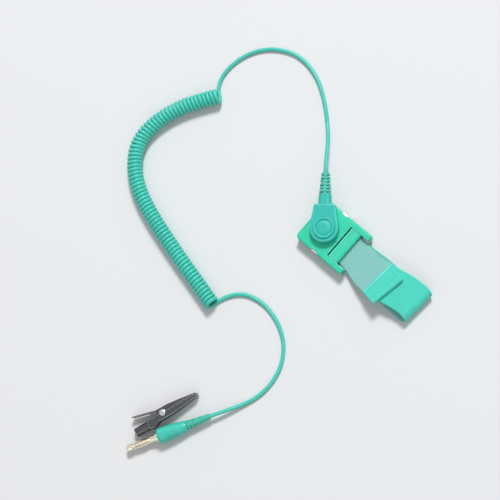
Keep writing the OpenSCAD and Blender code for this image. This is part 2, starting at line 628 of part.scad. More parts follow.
// Ribbed relief: an oval rib follows an oval rib, each smaller than the last
module connector_relief() color([0.27, 0.78, 0.73]) on_cord_axis() difference() {
    union() {
        rod(stem_p, collar_end, stem_r);
        translate([collar_end, 0, 0]) rotate([0, 90, 0])
            cylinder(r1 = relief_r[0], r2 = relief_r[1], h = relief_len);
        for (i = [0:relief_ribs - 1]) {
            f = i / (relief_ribs - 1);
            a = collar_end + relief_len * i / relief_ribs;
            h = collar_h - 0.2 - (collar_h - 0.2 - 2 * relief_r[1] - 0.5) * f;
            oval_plate(a, a + rib_t, max(h + eps, collar_w - 0.5 - (collar_w - 0.5 - rib_end_w) * f), h);
        }
    }
    rod(stem_p - 1, relief_tip + 1, cord_d / 2);
}

module connector_wire() color([0.27, 0.76, 0.71]) on_cord_axis()
    rod(crimp_p + crimp_len, relief_tip, cord_d / 2);

// ---- Cord ----

module lead_connector() color([0.3, 0.78, 0.73]) tube(lead_1, cord_d / 2, 8);

module cord_coil() color([0.3, 0.82, 0.76])
    tube([for (p = coil_plan) [p[0], p[1], coil_z]], coil_d / 2, coil_sides);

module lead_plug() color([0.3, 0.78, 0.73]) tube(lead_2, cord_d / 2, 8);

// ---- Plug ----

module plug_relief() color([0.27, 0.78, 0.73]) on_plug() difference() {
    union() {
        rotate([0, 90, 0]) cylinder(r1 = sleeve_r[0] - 0.3, r2 = sleeve_r[1] - 0.6, h = sleeve_len);
        for (i = [0:relief_ribs - 1]) {
            q = sleeve_len * i / relief_ribs;
            r = sleeve_r[0] + (sleeve_r[1] - sleeve_r[0]) * i / (relief_ribs - 1);
            rod(q, q + 0.55 * sleeve_len / relief_ribs, r);
        }
        rod(sleeve_len - eps, plug_crimp_q, sleeve_stem_r);
    }
    rod(-1, plug_crimp_q + 1, cord_d / 2);
}

module plug_wire() color([0.27, 0.76, 0.71]) on_plug() rod(0, plug_crimp_q, cord_d / 2);

module plug_crimp() color([0.82, 0.68, 0.38]) on_plug() rod(plug_crimp_q, shank_q, plug_crimp_r);

// Moulded handle, slim at the sleeve and fullest at its butt
module plug_body() color([0.24, 0.8, 0.75]) on_plug() difference() {
    neck_r = sleeve_r[1] + 0.2;
    translate([sleeve_len, 0, 0]) rotate([0, 90, 0]) rotate_extrude() polygon(concat(
        [[0, 0], [sleeve_r[1], 0], [neck_r, 0.2]],
        [for (i = [1:9]) let (f = i / 9)
            [neck_r + (butt_r - neck_r) * (1 - (1 - f) ^ 1.6), (handle_len - butt_land) * f]],
        arc([butt_r - butt_edge, handle_len - butt_edge], butt_edge, 0, 90, 6), [[0, handle_len]]));
    rod(sleeve_len - 1, plug_crimp_q, sleeve_stem_r);
    rod(plug_crimp_q - eps, shank_q, plug_crimp_r + seat_gap);
    rod(shank_q - eps, handle_end + 1, shank_r + seat_gap);
}

// Nickel-plated brass core: shank, shoulder, full land, rod and nose
module plug_core() color([0.84, 0.82, 0.76]) on_plug() rotate([0, 90, 0]) rotate_extrude() polygon(concat(
    [[0, shank_q], [shank_r, shank_q], [shank_r, handle_end], [plug_shoulder_r - 0.2, handle_end],
     [plug_shoulder_r, handle_end + 0.2], [plug_shoulder_r, pin_root - 0.2],
     [plug_shoulder_r - 0.2, pin_root], [pin_r, pin_root], [pin_r, pin_root + pin_land],
     [core_r, pin_root + pin_land], [core_r, pin_tip - nose_len], [pin_r - 0.05, pin_tip - nose_len]],
    arc([pin_r - 1.05, pin_tip - 1], 1, 0, 90, 5), [[0, pin_tip]]));

// Lantern spring: a thin cage, parted into leaves that bow out between two rings
module plug_spring() color([0.88, 0.87, 0.84]) on_plug() {
    a = pin_root + pin_land + 0.1;
    b = pin_tip - nose_len - 0.1;
    bow = [for (i = [0:10]) let (f = i / 10)
        [leaf_end_r - leaf_t / 2 + (leaf_r - leaf_end_r) * sin(180 * f), a + (b - a) * f]];
    difference() {
        rotate([0, 90, 0]) rotate_extrude() strip(bow, leaf_t);
        for (i = [0:leaf_slots - 1]) rotate([180 * i / leaf_slots, 0, 0])
            translate([a + 1.2, -0.25, -pin_r]) cube([b - a - 2.4, 0.5, 2 * pin_r]);
    }
}

// ---- Clip ----

// Saw-toothed bite line, from the throat to the tip
throat_u = 6;
function bite(dv) = concat([[throat_u, dv]],
    [for (i = [0:jaw_teeth - 1], k = [0, 1]) let (step = (jaw_len - 1 - throat_u - 1) / jaw_teeth)
        [throat_u + 1 + step * (i + k * 0.35), dv + (k == 0 ? 0 : 0.7)]],
    [[jaw_len - 1, dv], [jaw_len, dv]]);

// Back edge of a jaw, from behind the pivot to the tip
function jaw_edge(inset) = [
    [-4, jaw_back - inset], [4, jaw_back - inset], [jaw_len * 0.6, jaw_back * 0.7 - inset],
    [jaw_len - 1, jaw_nose + 0.1 - inset], [jaw_len, jaw_nose - 0.5 - inset]];

// Side outline of a jaw: full height at the pivot and low at the tip
module jaw_side(inset) across(4 * arm_len) polygon([
    [-arm_len - 5, clip_z + inset], [6, clip_z + inset], [jaw_len + 5, clip_mid - nose_h / 2 + inset],
    [jaw_len + 5, clip_mid + nose_h / 2 - inset], [6, clip_z + clip_h - inset],
    [-arm_len - 5, clip_z + clip_h - inset]]);

// Channel of a jaw: its outline less the same outline moved in by one sheet
module jaw_channel(step, inner) difference() {
    intersection() {
        linear_extrude(20) children(0);
        jaw_side(step);
    }
    intersection() {
        translate([0, 0, -1]) linear_extrude(22) children(1);
        jaw_side(step + sheet);
    }
}

// Fixed jaw, with the cheeks that hold the rivet and the barrel that takes the plug's pin
module clip_base() color([0.78, 0.79, 0.8]) on_clip() {
    difference() {
        union() {
            jaw_channel(0) {
                union() {
                    mirror([0, 1]) polygon(concat(jaw_edge(0), reversed([for (p = bite(0)) [p[0], -p[1]]]),
                                                  [[-4, 0]]));
                    translate([0, -0.5]) circle(ear_r);
                    polygon([[-4, -jaw_back], [-4, 0], [-barrel_u - 1, barrel_v + barrel_bore_r],
                             [-barrel_u - 1, barrel_low], [-barrel_u + 1.5, barrel_low]]);
                }
                mirror([0, 1]) polygon(concat(
                    [[-barrel_u - 2, -arm_wall - barrel_low], [-barrel_u + 1.5, -arm_wall - barrel_low]],
                    jaw_edge(sheet), [[jaw_len, -4], [-barrel_u - 2, -4]]));
            }
            translate([0, barrel_v, clip_mid]) rod(-arm_len, -barrel_u, barrel_bore_r + barrel_wall);
        }
        translate([0, barrel_v, clip_mid]) rod(-arm_len - 1, -barrel_u + 1, barrel_bore_r);
        translate([0, 0, -1]) cylinder(r = pivot_r, h = 20);
    }
}

// Moving jaw, nested between the cheeks, with a thumb lever behind
module clip_jaw() color([0.82, 0.83, 0.84]) on_clip() difference() {
    union() {
        jaw_channel(nest) {
            union() {
                polygon(concat(jaw_edge(0), reversed(bite(bite_gap)), [[-4, bite_gap]]));
                circle(ear_r - 0.4);
            }
            polygon(concat(jaw_edge(sheet), [[jaw_len, -4], [-5, -4]]));
        }
        intersection() {
            linear_extrude(20) strip([[-3.5, jaw_back - sheet / 2], [-6, jaw_back + 0.5],
                                      [-arm_len + 2, lever_rise]], sheet);
            jaw_side(nest);
        }
    }
    translate([0, 0, -1]) cylinder(r = pivot_r + run_gap, h = 20);
}

module clip_pivot() color([0.7, 0.71, 0.73]) on_clip() {
    cylinder(r = pivot_r, h = clip_h + 2 * rivet_cap);
    for (z = [0, clip_z + clip_h]) translate([0, 0, z]) cylinder(r = pivot_r + 0.6, h = rivet_cap);
}

// Torsion spring round the rivet, with a leg on each arm
module clip_spring() color([0.6, 0.61, 0.63]) on_clip() translate([0, 0, clip_mid]) {
    r = pivot_r + 0.2 + spring_wire / 2;
    step = 0.9 * spring_wire;
    top = (spring_turns - 1) / 2 * step;
    for (z = [-top:step:top + eps]) translate([0, 0, z])
        rotate_extrude($fn = 32) translate([r, 0]) circle(spring_wire / 2, $fn = 12);
    for (s = [-1, 1]) translate([0, s * r, s * top]) rotate([0, -90, s < 0 ? leg_turn[0] : -leg_turn[1]])
        cylinder(r = spring_wire / 2, h = leg_len, $fn = 16);
}

buckle_frame();
back_plate();
snap_stud();
stud_rivet();
wrap_bar();
lever_pin();
lock_lever();
band();
snap_spring();
snap_socket();
contact_tab();
limit_resistor();
resistor_crimp();
connector_shell();
connector_cap();
connector_relief();
connector_wire();
lead_connector();
cord_coil();
lead_plug();
plug_relief();
plug_wire();
plug_crimp();
plug_body();
plug_core();
plug_spring();
clip_base();
clip_jaw();
clip_pivot();
clip_spring();
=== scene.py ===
"""Looks of an elastic wrist strap with its coiled ground cord, plug and clip."""

import logging
import math
from collections.abc import Callable, Iterable, Sequence
from dataclasses import dataclass
from enum import Enum
from functools import cached_property
from itertools import accumulate, pairwise
from typing import ClassVar, NamedTuple

import bmesh
import bpy
from mathutils import Matrix, Vector


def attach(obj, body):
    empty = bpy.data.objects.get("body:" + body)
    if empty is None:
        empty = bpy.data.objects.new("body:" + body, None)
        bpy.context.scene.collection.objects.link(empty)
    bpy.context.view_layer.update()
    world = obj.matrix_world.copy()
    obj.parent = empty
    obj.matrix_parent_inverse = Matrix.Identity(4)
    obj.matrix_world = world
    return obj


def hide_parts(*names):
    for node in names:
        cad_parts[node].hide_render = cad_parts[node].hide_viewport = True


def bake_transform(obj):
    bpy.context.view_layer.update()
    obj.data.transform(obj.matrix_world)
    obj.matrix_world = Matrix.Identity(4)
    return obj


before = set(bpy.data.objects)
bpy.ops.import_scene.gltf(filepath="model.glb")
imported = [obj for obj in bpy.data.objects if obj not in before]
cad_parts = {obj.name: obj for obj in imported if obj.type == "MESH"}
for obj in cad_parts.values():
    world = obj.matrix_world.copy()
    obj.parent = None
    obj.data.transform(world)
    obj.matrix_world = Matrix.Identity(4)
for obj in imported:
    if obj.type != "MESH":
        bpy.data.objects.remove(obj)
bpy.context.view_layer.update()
LOG = logging.getLogger("wrist_strap")

MM = 0.001
UP = Vector((0.0, 0.0, 1.0))
CENTRE = (0.0, 0.0, 0.0)
LYING = Matrix.Rotation(math.radians(90.0), 4, "Y")  # brings a lathe's axis from Z to X

Point = tuple[float, float]
Triple = tuple[float, float, float]
Colour = tuple[int, int, int]  # as a display shows it, 0 to 255
Shape = bmesh.types.BMesh
Socket = bpy.types.NodeSocket

CONNECTOR_TURN = 130.0  # turns about Z are in degrees from X
CORD_HEIGHT = 10.475  # of the cord's axis in the connector
PLUG_AT = (19.0, -120.0, 4.5)  # where the cord enters its sleeve
PLUG_TURN = -118.0
CLIP_AT = (-2.4, -136.0, 0.0)  # foot of its pivot
CLIP_TURN = 70.0

WEAR_AND_HIGHLIGHT = "edge_wear"  # how far handling has buffed a face and a painted highlight lightens it, 0 to 1
WEAVE_MAP = "weave"
BACKDROP = 0.93  # strength of the world behind the floor
MOST = (0.3, 0.7)  # between these lie most values of a noise
SLIGHT_WEAR_AND_HIGHLIGHT = 0.35  # of an edge that a hand seldom meets, with a faint painted highlight
RIB_SHARE = 0.55  # of a relief's step, the rest of which is the gap
BRIDGE_HOLD = 0.15  # how far a bridge runs into the ribs at its ends
MADE: dict[str, bpy.types.Material] = {}


class Body(Enum):
    """Bodies that pieces ride on."""

    WRISTBAND = "wristband"
    LEVER = "lever"
    CORD_SET = "cord_set"
    CLIP = "clip"
    JAW = "jaw"


class Slot(Enum):
    """The record's material slots."""

    MINT = "mint_plastic"
    TEAL = "teal_plastic"
    VINYL = "teal_vinyl"
    COIL = "coil_vinyl"
    FABRIC = "elastic_fabric"
    PLATE = "plate_steel"
    SPRING = "spring_steel"
    PLUG = "plug_nickel"
    CLIP = "clip_steel"


class Face(Enum):
    """Material index of each face of the band."""

    OUTER = 0
    INNER = 1


# ---- Materials ----


def linear(colour: Colour) -> tuple[float, ...]:
    """Turns a display colour into the one that a shader takes."""
    parts = [c / 255 for c in colour]
    made = [c / 12.92 if c <= 0.04045 else ((c + 0.055) / 1.055) ** 2.4 for c in parts]
    return (*made, 1.0)


class Shader:
    """A node tree, with short calls for the nodes that the finishes and the world share."""

    def __init__(self, tree: bpy.types.NodeTree) -> None:
        """Takes up the tree.

        Args:
            tree: nodes of a material or of a world.
        """
        self.tree = tree

    @cached_property
    def surface(self) -> bpy.types.Node:
        """The material's surface shader."""
        return self.tree.nodes["Principled BSDF"]

    def feed(self, socket: Socket, value: object) -> None:
        """Links a socket to another one, or sets its value."""
        if isinstance(value, bpy.types.NodeSocket):
            self.tree.links.new(value, socket)
        else:
            socket.default_value = value

    def add(self, kind: str, inputs: dict[str | int, object] | None = None,
            **settings: object) -> bpy.types.Node:
        """Adds a node.

        Args:
            kind: Blender's name of the node.
            inputs: values or sockets for its inputs.
            settings: its own settings.

        Returns:
            The new node.
        """
        node = self.tree.nodes.new(kind)
        for key, value in settings.items():
            setattr(node, key, value)
        for key, value in (inputs or {}).items():
            self.feed(node.inputs[key], value)
        return node

    @cached_property
    def place(self) -> Socket:
        """Object coordinates."""
        return self.add("ShaderNodeTexCoord").outputs["Object"]

    def stretched(self, scale: Triple, turn: float = 0.0) -> Socket:
        """Object coordinates, turned about Z by degrees and then stretched along each axis."""
        inputs = {"Vector": self.place, "Rotation": (0.0, 0.0, math.radians(turn)), "Scale": scale}
        return self.add("ShaderNodeMapping", inputs).outputs["Vector"]

    def noise(self, size: float, detail: float, place: Socket | None = None,
              warp: float = 0.0) -> Socket:
        """Soft noise.

        Args:
            size: size of its grains, in millimetres.
            detail: number of finer layers.
            place: coordinates, or None for the object's own.
            warp: how much it is bent.

        Returns:
            Its strength, from 0 to 1.
        """
        inputs = {"Vector": place or self.place, "Scale": 1 / (size * MM), "Detail": detail,
                  "Distortion": warp}
        return self.add("ShaderNodeTexNoise", inputs).outputs["Fac"]

    def math(self, operation: str, first: object, second: object = 0.0) -> Socket:
        """One sum on one or two numbers."""
        return self.add("ShaderNodeMath", {0: first, 1: second}, operation=operation).outputs[0]

    def between(self, value: Socket, low: float, high: float, start: float = 0.0,
                end: float = 1.0) -> Socket:
        """Maps start to end onto low to high, and stops there."""
        inputs = {"Value": value, "From Min": start, "From Max": end, "To Min": low, "To Max": high}
        return self.add("ShaderNodeMapRange", inputs).outputs["Result"]

    def mix(self, share: object, first: Socket | Colour, second: Socket | Colour) -> Socket:
        """Mixes two colours."""
        pair = [c if isinstance(c, bpy.types.NodeSocket) else linear(c) for c in (first, second)]
        node = self.add("ShaderNodeMix", {0: share, 6: pair[0], 7: pair[1]}, data_type="RGBA")
        return node.outputs[2]

    def bump(self, height: Socket, depth: float, under: Socket | None = None) -> Socket:
        """Surface relief.

        Args:
            height: its height, from 0 to 1.
            depth: its depth, in millimetres.
            under: relief that it lies on.

        Returns:
            The bent normal.
        """
        inputs = {"Height": height, "Distance": depth * MM, "Strength": 1.0}
        if under is not None:
            inputs["Normal"] = under
        return self.add("ShaderNodeBump", inputs).outputs["Normal"]

    def edges(self) -> Socket:
        """Edge scuffing and painted edge highlight: 1 on the rounded edges of a piece that marks
        them.
        """
        return self.add("ShaderNodeAttribute", attribute_name=WEAR_AND_HIGHLIGHT).outputs["Fac"]

    def seen(self) -> Socket:
        """1 for the camera's own rays and for those that are mirrored or let through, else 0."""
        rays = self.add("ShaderNodeLightPath").outputs
        onward = self.math("MAXIMUM", rays["Is Glossy Ray"], rays["Is Transmission Ray"])
        return self.math("MAXIMUM", rays["Is Camera Ray"], onward)

    def set(self, **inputs: object) -> None:
        """Feeds the surface shader's sockets, named in small letters with _ for a space."""
        sockets = {s.name.lower().replace(" ", "_"): s for s in self.surface.inputs}
        for key, value in inputs.items():
            self.feed(sockets[key], value)


@dataclass(frozen=True)
class Finish:
    """A named finish that becomes one material, however many pieces use it."""

    name: str

    def paint(self, shader: Shader) -> None:
        """Builds the finish's nodes."""
        raise NotImplementedError

    def material(self) -> bpy.types.Material:
        """Returns the finish's material, which is made at its first use."""
        if self.name not in MADE:
            made = bpy.data.materials.new(self.name)
            made.use_nodes = True
            self.paint(Shader(made.node_tree))
            MADE[self.name] = made
        return MADE[self.name]


@dataclass(frozen=True)
class MouldedPlastic(Finish):
    """Moulded plastic: fine spark grain, faint flow marks, and edges buffed by handling and
    lightened as a painted highlight.
    """

    base: Colour
    deep: Colour
    worn_and_highlit: Colour
    roughness: float = 0.42
    grain: float = 0.3
    grain_depth: float = 0.02
    flow: float = 9.0
    flow_depth: float = 0.08
    speck: float = 0.5
    smear: float = 4.0
    rub_shine: float = 0.1

    def paint(self, shader: Shader) -> None:
        """Builds the finish's nodes."""
        flow = shader.noise(self.flow, 3.0, warp=0.8)
        specks = shader.between(shader.noise(self.speck, 4.0), 0.45, 1.0, 0.3, 0.6)
        body = shader.mix(shader.between(flow, 0.0, 1.0, *MOST), self.deep, self.base)
        rubbed_and_highlit = shader.math("MULTIPLY", shader.edges(), specks)
        # Painted highlight: flecked rounded edges turn towards the light edge colour, partly as
        # real scuffing.
        shader.set(base_color=shader.mix(rubbed_and_highlit, body, self.worn_and_highlit), specular_ior_level=0.45)
        smear = shader.noise(self.smear, 5.0, warp=0.4)
        dull = shader.between(smear, self.roughness - 0.06, self.roughness + 0.1, *MOST)
        shine = shader.math("MULTIPLY", rubbed_and_highlit, self.rub_shine)
        shader.set(roughness=shader.math("SUBTRACT", dull, shine))
        grain = shader.bump(shader.noise(self.grain, 3.0), self.grain_depth)
        shader.set(normal=shader.bump(flow, self.flow_depth, grain))


@dataclass(frozen=True)
class CordVinyl(Finish):
    """Soft vinyl of the cord: glossy, with faint scuffs that hold dust."""

    base: Colour
    deep: Colour
    roughness: float = 0.34
    cloud: float = 14.0
    scuff: float = 1.3
    dust: Colour = (190, 222, 212)
    grain: float = 0.35
    grain_depth: float = 0.018

    def paint(self, shader: Shader) -> None:
        """Builds the finish's nodes."""
        cloud = shader.noise(self.cloud, 4.0, warp=0.5)
        scuff = shader.noise(self.scuff, 5.0, warp=1.2)
        body = shader.mix(shader.between(cloud, 0.0, 1.0, *MOST), self.deep, self.base)
        dusty = shader.mix(shader.between(scuff, 0.0, 0.22, 0.58, 0.75), body, self.dust)
        dull = shader.between(scuff, self.roughness - 0.04, self.roughness + 0.2, 0.35, 0.75)
        shader.set(base_color=dusty, roughness=dull, specular_ior_level=0.5)
        shader.set(normal=shader.bump(shader.noise(self.grain, 3.0), self.grain_depth))


@dataclass(frozen=True)
class PlatedMetal(Finish):
    """Bright plated metal: soft haze, fine hairlines along one direction, dull spots, and painted
    glints on its buffed edges.
    """

    base: Colour
    tarnish: Colour
    roughness: float = 0.2
    turn: float = 0.0
    polish_and_glint: float = 0.35
    polished_glint: Colour = (236, 235, 230)
    hairline: float = 0.12
    hairline_stretch: float = 0.06
    hairline_depth: float = 0.003
    haze: float = 2.6
    haze_depth: float = 0.008
    spot: float = 0.7
    spot_dullness: float = 0.18

    def paint(self, shader: Shader) -> None:
        """Builds the finish's nodes."""
        along = shader.stretched((self.hairline_stretch, 1.0, 1.0), self.turn)
        lines = shader.noise(self.hairline, 3.0, place=along)
        haze = shader.noise(self.haze, 5.0, warp=0.7)
        spots = shader.noise(self.spot, 2.0)
        dulled = shader.math("MULTIPLY", shader.between(haze, 0.0, 0.5, 0.45, 0.8), spots)
        bright = shader.mix(dulled, self.base, self.tarnish)
        # Painted glint: rounded edges turn towards near-white, partly as real buffing.
        rubbed_and_highlit = shader.math("MULTIPLY", shader.edges(), self.polish_and_glint)
        shader.set(base_color=shader.mix(rubbed_and_highlit, bright, self.polished_glint), metallic=1.0)
        rough = shader.between(lines, self.roughness - 0.05, self.roughness + 0.14, *MOST)
        dull = shader.math("MULTIPLY", dulled, self.spot_dullness)
        shader.set(roughness=shader.math("ADD", rough, dull))
        under = shader.bump(haze, self.haze_depth)
        shader.set(normal=shader.bump(lines, self.hairline_depth, under))


@dataclass(frozen=True)
class ResistorCoat(Finish):
    """Hard lacquer of the resistor with its painted value rings."""

    base: Colour
    rings: tuple[Colour, ...]
    start: float
    turn: float
    ring_pitch: float = 1.15
    ring_half: float = 0.32
    shadow: Colour = (60, 70, 80)
    ripple: float = 0.6
    ripple_depth: float = 0.02

    def paint(self, shader: Shader) -> None:
        """Builds the finish's nodes."""
        place = shader.stretched((1.0, 1.0, 1.0), self.turn)
        along = shader.add("ShaderNodeSeparateXYZ", {0: place}).outputs[0]
        surface: Socket | Colour = self.base
        for number, paint in enumerate(self.rings):
            centre = (self.start + self.ring_pitch * number) * MM
            apart = shader.math("ABSOLUTE", shader.math("SUBTRACT", along, centre))
            inside = shader.math("LESS_THAN", apart, self.ring_half * MM)
            surface = shader.mix(inside, surface, paint)
        shade = shader.noise(self.ripple, 3.0)
        shader.set(base_color=shader.mix(shader.between(shade, 0.0, 0.25), surface, self.shadow))
        shader.set(roughness=shader.between(shade, 0.22, 0.38))
        shader.set(normal=shader.bump(shade, self.ripple_depth))


@dataclass(frozen=True)
class BandWeave(Finish):
    """Knitted elastic, on the band's own map: u runs along the band and v across it, in metres."""

    thread: Colour
    shade: Colour
    silver: Colour | None = None
    pitch: float = 0.62
    column: float = 0.48
    zigzag: float = 1.4
    wander: float = 1.6
    wander_reach: float = 1.5
    loop_depth: float = 0.09
    fibre: float = 0.16
    fibre_depth: float = 0.02
    fluff: Colour = (205, 240, 230)
    strand: float = 2.1
    strand_shine: float = 0.35
    strand_metal: float = 0.45

    def waves(self, shader: Shader, along: Socket, length: float) -> Socket:
        """Phase along a line that gains a full turn in each length."""
        return shader.math("MULTIPLY", along, math.tau / (length * MM))

    def paint(self, shader: Shader) -> None:
        """Builds the finish's nodes."""
        chart = shader.add("ShaderNodeUVMap", uv_map=WEAVE_MAP).outputs["UV"]
        wander = shader.noise(self.wander, 2.0, place=chart)
        u, v = shader.add("ShaderNodeSeparateXYZ", {0: chart}).outputs[:2]
        columns = shader.math("SINE", self.waves(shader, v, self.column))
        phase = shader.math("MULTIPLY", shader.math("ABSOLUTE", columns), self.zigzag)
        shift = shader.math("ADD", phase, shader.math("MULTIPLY", wander, self.wander_reach))
        bent = shader.math("ADD", self.waves(shader, u, self.pitch), shift)
        loops = shader.between(shader.math("SINE", bent), 0.0, 1.0, -1.0, 1.0)
        weft = shader.between(columns, 0.0, 1.0, -1.0, 1.0)
        height = shader.math("MULTIPLY", loops, shader.between(weft, 0.45, 1.0))
        fibre = shader.noise(self.fibre, 3.0, place=chart)
        body = shader.mix(shader.between(height, 0.0, 1.0, 0.1, 0.75), self.shade, self.thread)
        body = shader.mix(shader.between(fibre, 0.0, 0.3, 0.5, 0.8), body, self.fluff)
        roughness = shader.between(fibre, 0.72, 0.95)
        if self.silver:
            strand = shader.math("SINE", self.waves(shader, v, self.strand * self.column))
            metal = shader.math("MULTIPLY", shader.between(strand, 0.0, 0.85, -0.3, 0.5),
                                shader.between(loops, 0.35, 1.0))
            body = shader.mix(metal, body, self.silver)
            shine = shader.math("MULTIPLY", metal, self.strand_shine)
            roughness = shader.math("SUBTRACT", roughness, shine)
            shader.set(metallic=shader.math("MULTIPLY", metal, self.strand_metal))
        shader.set(base_color=body, roughness=roughness, sheen_weight=0.25, sheen_roughness=0.5)
        under = shader.bump(fibre, self.fibre_depth)
        shader.set(normal=shader.bump(height, self.loop_depth, under), specular_ior_level=0.25)


@dataclass(frozen=True)
class SewingThread(Finish):
    """Twisted sewing thread."""

    base: Colour
    deep: Colour
    ply: float = 0.14
    ply_depth: float = 0.05

    def paint(self, shader: Shader) -> None:
        """Builds the finish's nodes."""
        ply = shader.noise(self.ply, 3.0, place=shader.stretched((1.0, 0.5, 1.0)), warp=0.6)
        shader.set(base_color=shader.mix(ply, self.deep, self.base), roughness=0.6)
        shader.set(normal=shader.bump(ply, self.ply_depth), sheen_weight=0.3)


@dataclass(frozen=True)
class StudioFloor(Finish):
    """Plain pale floor that keeps the object's shadow and fades into the backdrop far off."""

    base: Colour
    speckle: Colour
    grain: float = 1.2
    fade_start: float = 0.3
    fade_end: float = 1.3

    def paint(self, shader: Shader) -> None:
        """Builds the finish's nodes."""
        grain = shader.between(shader.noise(self.grain, 3.0), 0.0, 0.3)
        shader.set(base_color=shader.mix(grain, self.base, self.speckle), roughness=0.85)
        shader.set(specular_ior_level=0.15)
        away = shader.add("ShaderNodeVectorMath", {0: shader.place}, operation="LENGTH")
        fade = shader.between(away.outputs["Value"], 0.0, 1.0, self.fade_start, self.fade_end)
        share = shader.math("MULTIPLY", shader.seen(), fade)
        far = shader.add("ShaderNodeEmission", {"Strength": BACKDROP}).outputs[0]
        layers = {0: share, 1: shader.surface.outputs[0], 2: far}
        whole = shader.add("ShaderNodeMixShader", layers).outputs[0]
        shader.feed(shader.tree.nodes["Material Output"].inputs["Surface"], whole)


# Third colour of each plastic: its edge colour, part scuffing and part painted highlight.
MINT = MouldedPlastic("frame_mint", (40, 208, 170), (32, 196, 158), (120, 234, 208))
LEVER_MINT = MouldedPlastic("lever_mint", (54, 208, 174), (44, 196, 162), (136, 238, 216))
TEAL = MouldedPlastic("moulded_teal", (40, 187, 175), (32, 175, 163), (112, 224, 210), 0.38)
CAP_TEAL = MouldedPlastic("cap_teal", (48, 193, 178), (40, 181, 166), (120, 228, 212), 0.36)
HANDLE_TEAL = MouldedPlastic("handle_teal", (62, 196, 178), (54, 184, 166), (120, 226, 210), 0.34)
SOFT_TEAL = CordVinyl("relief_teal", (70, 188, 170), (58, 174, 156), 0.42)
CORD_TEAL = CordVinyl("cord_teal", (66, 202, 184), (56, 190, 172))
BAND_OUTER = BandWeave("band_outer_weave", (88, 234, 214), (52, 198, 178))
BAND_INNER = BandWeave("band_inner_weave", (128, 218, 212), (84, 168, 162), (184, 208, 208))
# Painted highlight: the melted yarn bead is painted paler than the band, as light catching the
# hem's cut end.
SEALED_YARN_HIGHLIGHT = MouldedPlastic("sealed_yarn", (112, 234, 218), (84, 216, 198), (150, 244, 232), 0.5,
                             grain=0.4, grain_depth=0.16)
THREAD = SewingThread("hem_thread", (132, 240, 224), (56, 184, 166))
PLATE_STEEL = PlatedMetal("bright_plate", (200, 202, 204), (150, 150, 148), 0.26)
PIN_STEEL = PlatedMetal("ground_pin", (190, 192, 195), (138, 138, 138), 0.22)
SPRING_STEEL = PlatedMetal("spring_wire_steel", (150, 152, 156), (96, 96, 98), 0.26)
SNAP_NICKEL = PlatedMetal("stud_plating", (212, 208, 198), (160, 154, 140), 0.18)
PLUG_NICKEL = PlatedMetal("pin_plating", (216, 210, 194), (170, 158, 132), 0.16, -PLUG_TURN)
LEAF_NICKEL = PlatedMetal("leaf_plating", (226, 218, 196), (186, 168, 128), 0.18, -PLUG_TURN)
BRASS = PlatedMetal("bare_brass", (214, 178, 104), (160, 124, 66), 0.24)
# Painted reflection: the dark base stands in for dark surroundings mirrored in the bright plating,
# and its edges take strong painted glints.
CLIP_STEEL_PAINTED_REFLECTIONS = PlatedMetal("pressed_clip", (86, 88, 92), (48, 48, 52), 0.2, -CLIP_TURN, polish_and_glint=0.85)
RESISTOR = ResistorCoat("ringed_lacquer", (122, 172, 200), (
    (92, 52, 30), (24, 22, 22), (46, 140, 70), (196, 150, 60)), 8.6, -CONNECTOR_TURN)
FLOOR = StudioFloor("studio_floor", (226, 227, 229), (216, 217, 219))


# ---- Mesh tools, in millimetres ----


def arc(centre: Point, radius: float, start: float, end: float, steps: int) -> list[Point]:
    """Points on an arc, with its angles in degrees."""
    angles = [math.radians(start + (end - start) * i / steps) for i in range(steps + 1)]
    return [(centre[0] + radius * math.cos(a), centre[1] + radius * math.sin(a)) for a in angles]


def softened(outline: Sequence[Point], radius: float, steps: int) -> list[Point]:
    """Rounds the corners of a flat line, and keeps its ends.

    Args:
        outline: its points.
        radius: radius of the corners, less where a side is short.
        steps: sides of each rounded corner.

    Returns:
        The points of the rounded line.
    """
    made = [outline[0]]
    most = 0.45  # share of a side that one corner may take
    for before, corner, after in zip(outline, outline[1:], outline[2:]):
        here = Vector(corner)
        back, ahead = Vector(before) - here, Vector(after) - here
        half = back.angle(ahead) / 2
        reach = min(radius / math.tan(half), most * back.length, most * ahead.length)
        first, last = here + reach * back.normalized(), here + reach * ahead.normalized()
        for k in range(steps + 1):
            f = k / steps
            bent = (1 - f) ** 2 * first + 2 * f * (1 - f) * here + f**2 * last
            made.append((bent.x, bent.y))
    return [*made, outline[-1]]


def lathe(profile: Sequence[Point], steps: int = 96) -> Shape:
    """Spins a profile about the Z axis.

    Args:
        profile: points, each a radius and a height.
        steps: sides of the full turn.

    Returns:
        The closed shape.
    """
    bm = bmesh.new()
    corners = [bm.verts.new((radius, 0.0, height)) for radius, height in profile]
    sides = [bm.edges.new(pair) for pair in zip(corners, corners[1:])]
    bmesh.ops.spin(bm, geom=corners + sides, axis=UP, cent=CENTRE, angle=math.tau, steps=steps,
                   use_merge=True)
    return sealed(bm)


def prism(outline: Sequence[Point], low: float, high: float) -> Shape:
    """Draws a flat outline in X and Y out to a solid between two heights."""
    bm = bmesh.new()
    face = bm.faces.new([bm.verts.new((x, y, low)) for x, y in outline])
    made = bmesh.ops.extrude_face_region(bm, geom=[face])
    raised = [v for v in made["geom"] if isinstance(v, bmesh.types.BMVert)]
    bmesh.ops.translate(bm, verts=raised, vec=(0.0, 0.0, high - low))
    return sealed(bm)


def sealed(bm: Shape) -> Shape:
    """Merges doubled points and turns the faces outwards."""
    bmesh.ops.remove_doubles(bm, verts=bm.verts, dist=1e-3)
    bmesh.ops.recalc_face_normals(bm, faces=bm.faces)
    return bm


def moved(bm: Shape, matrix: Matrix) -> Shape:
    """Moves a shape by a matrix, and returns it."""
    bmesh.ops.transform(bm, matrix=matrix, verts=bm.verts)
    return bm


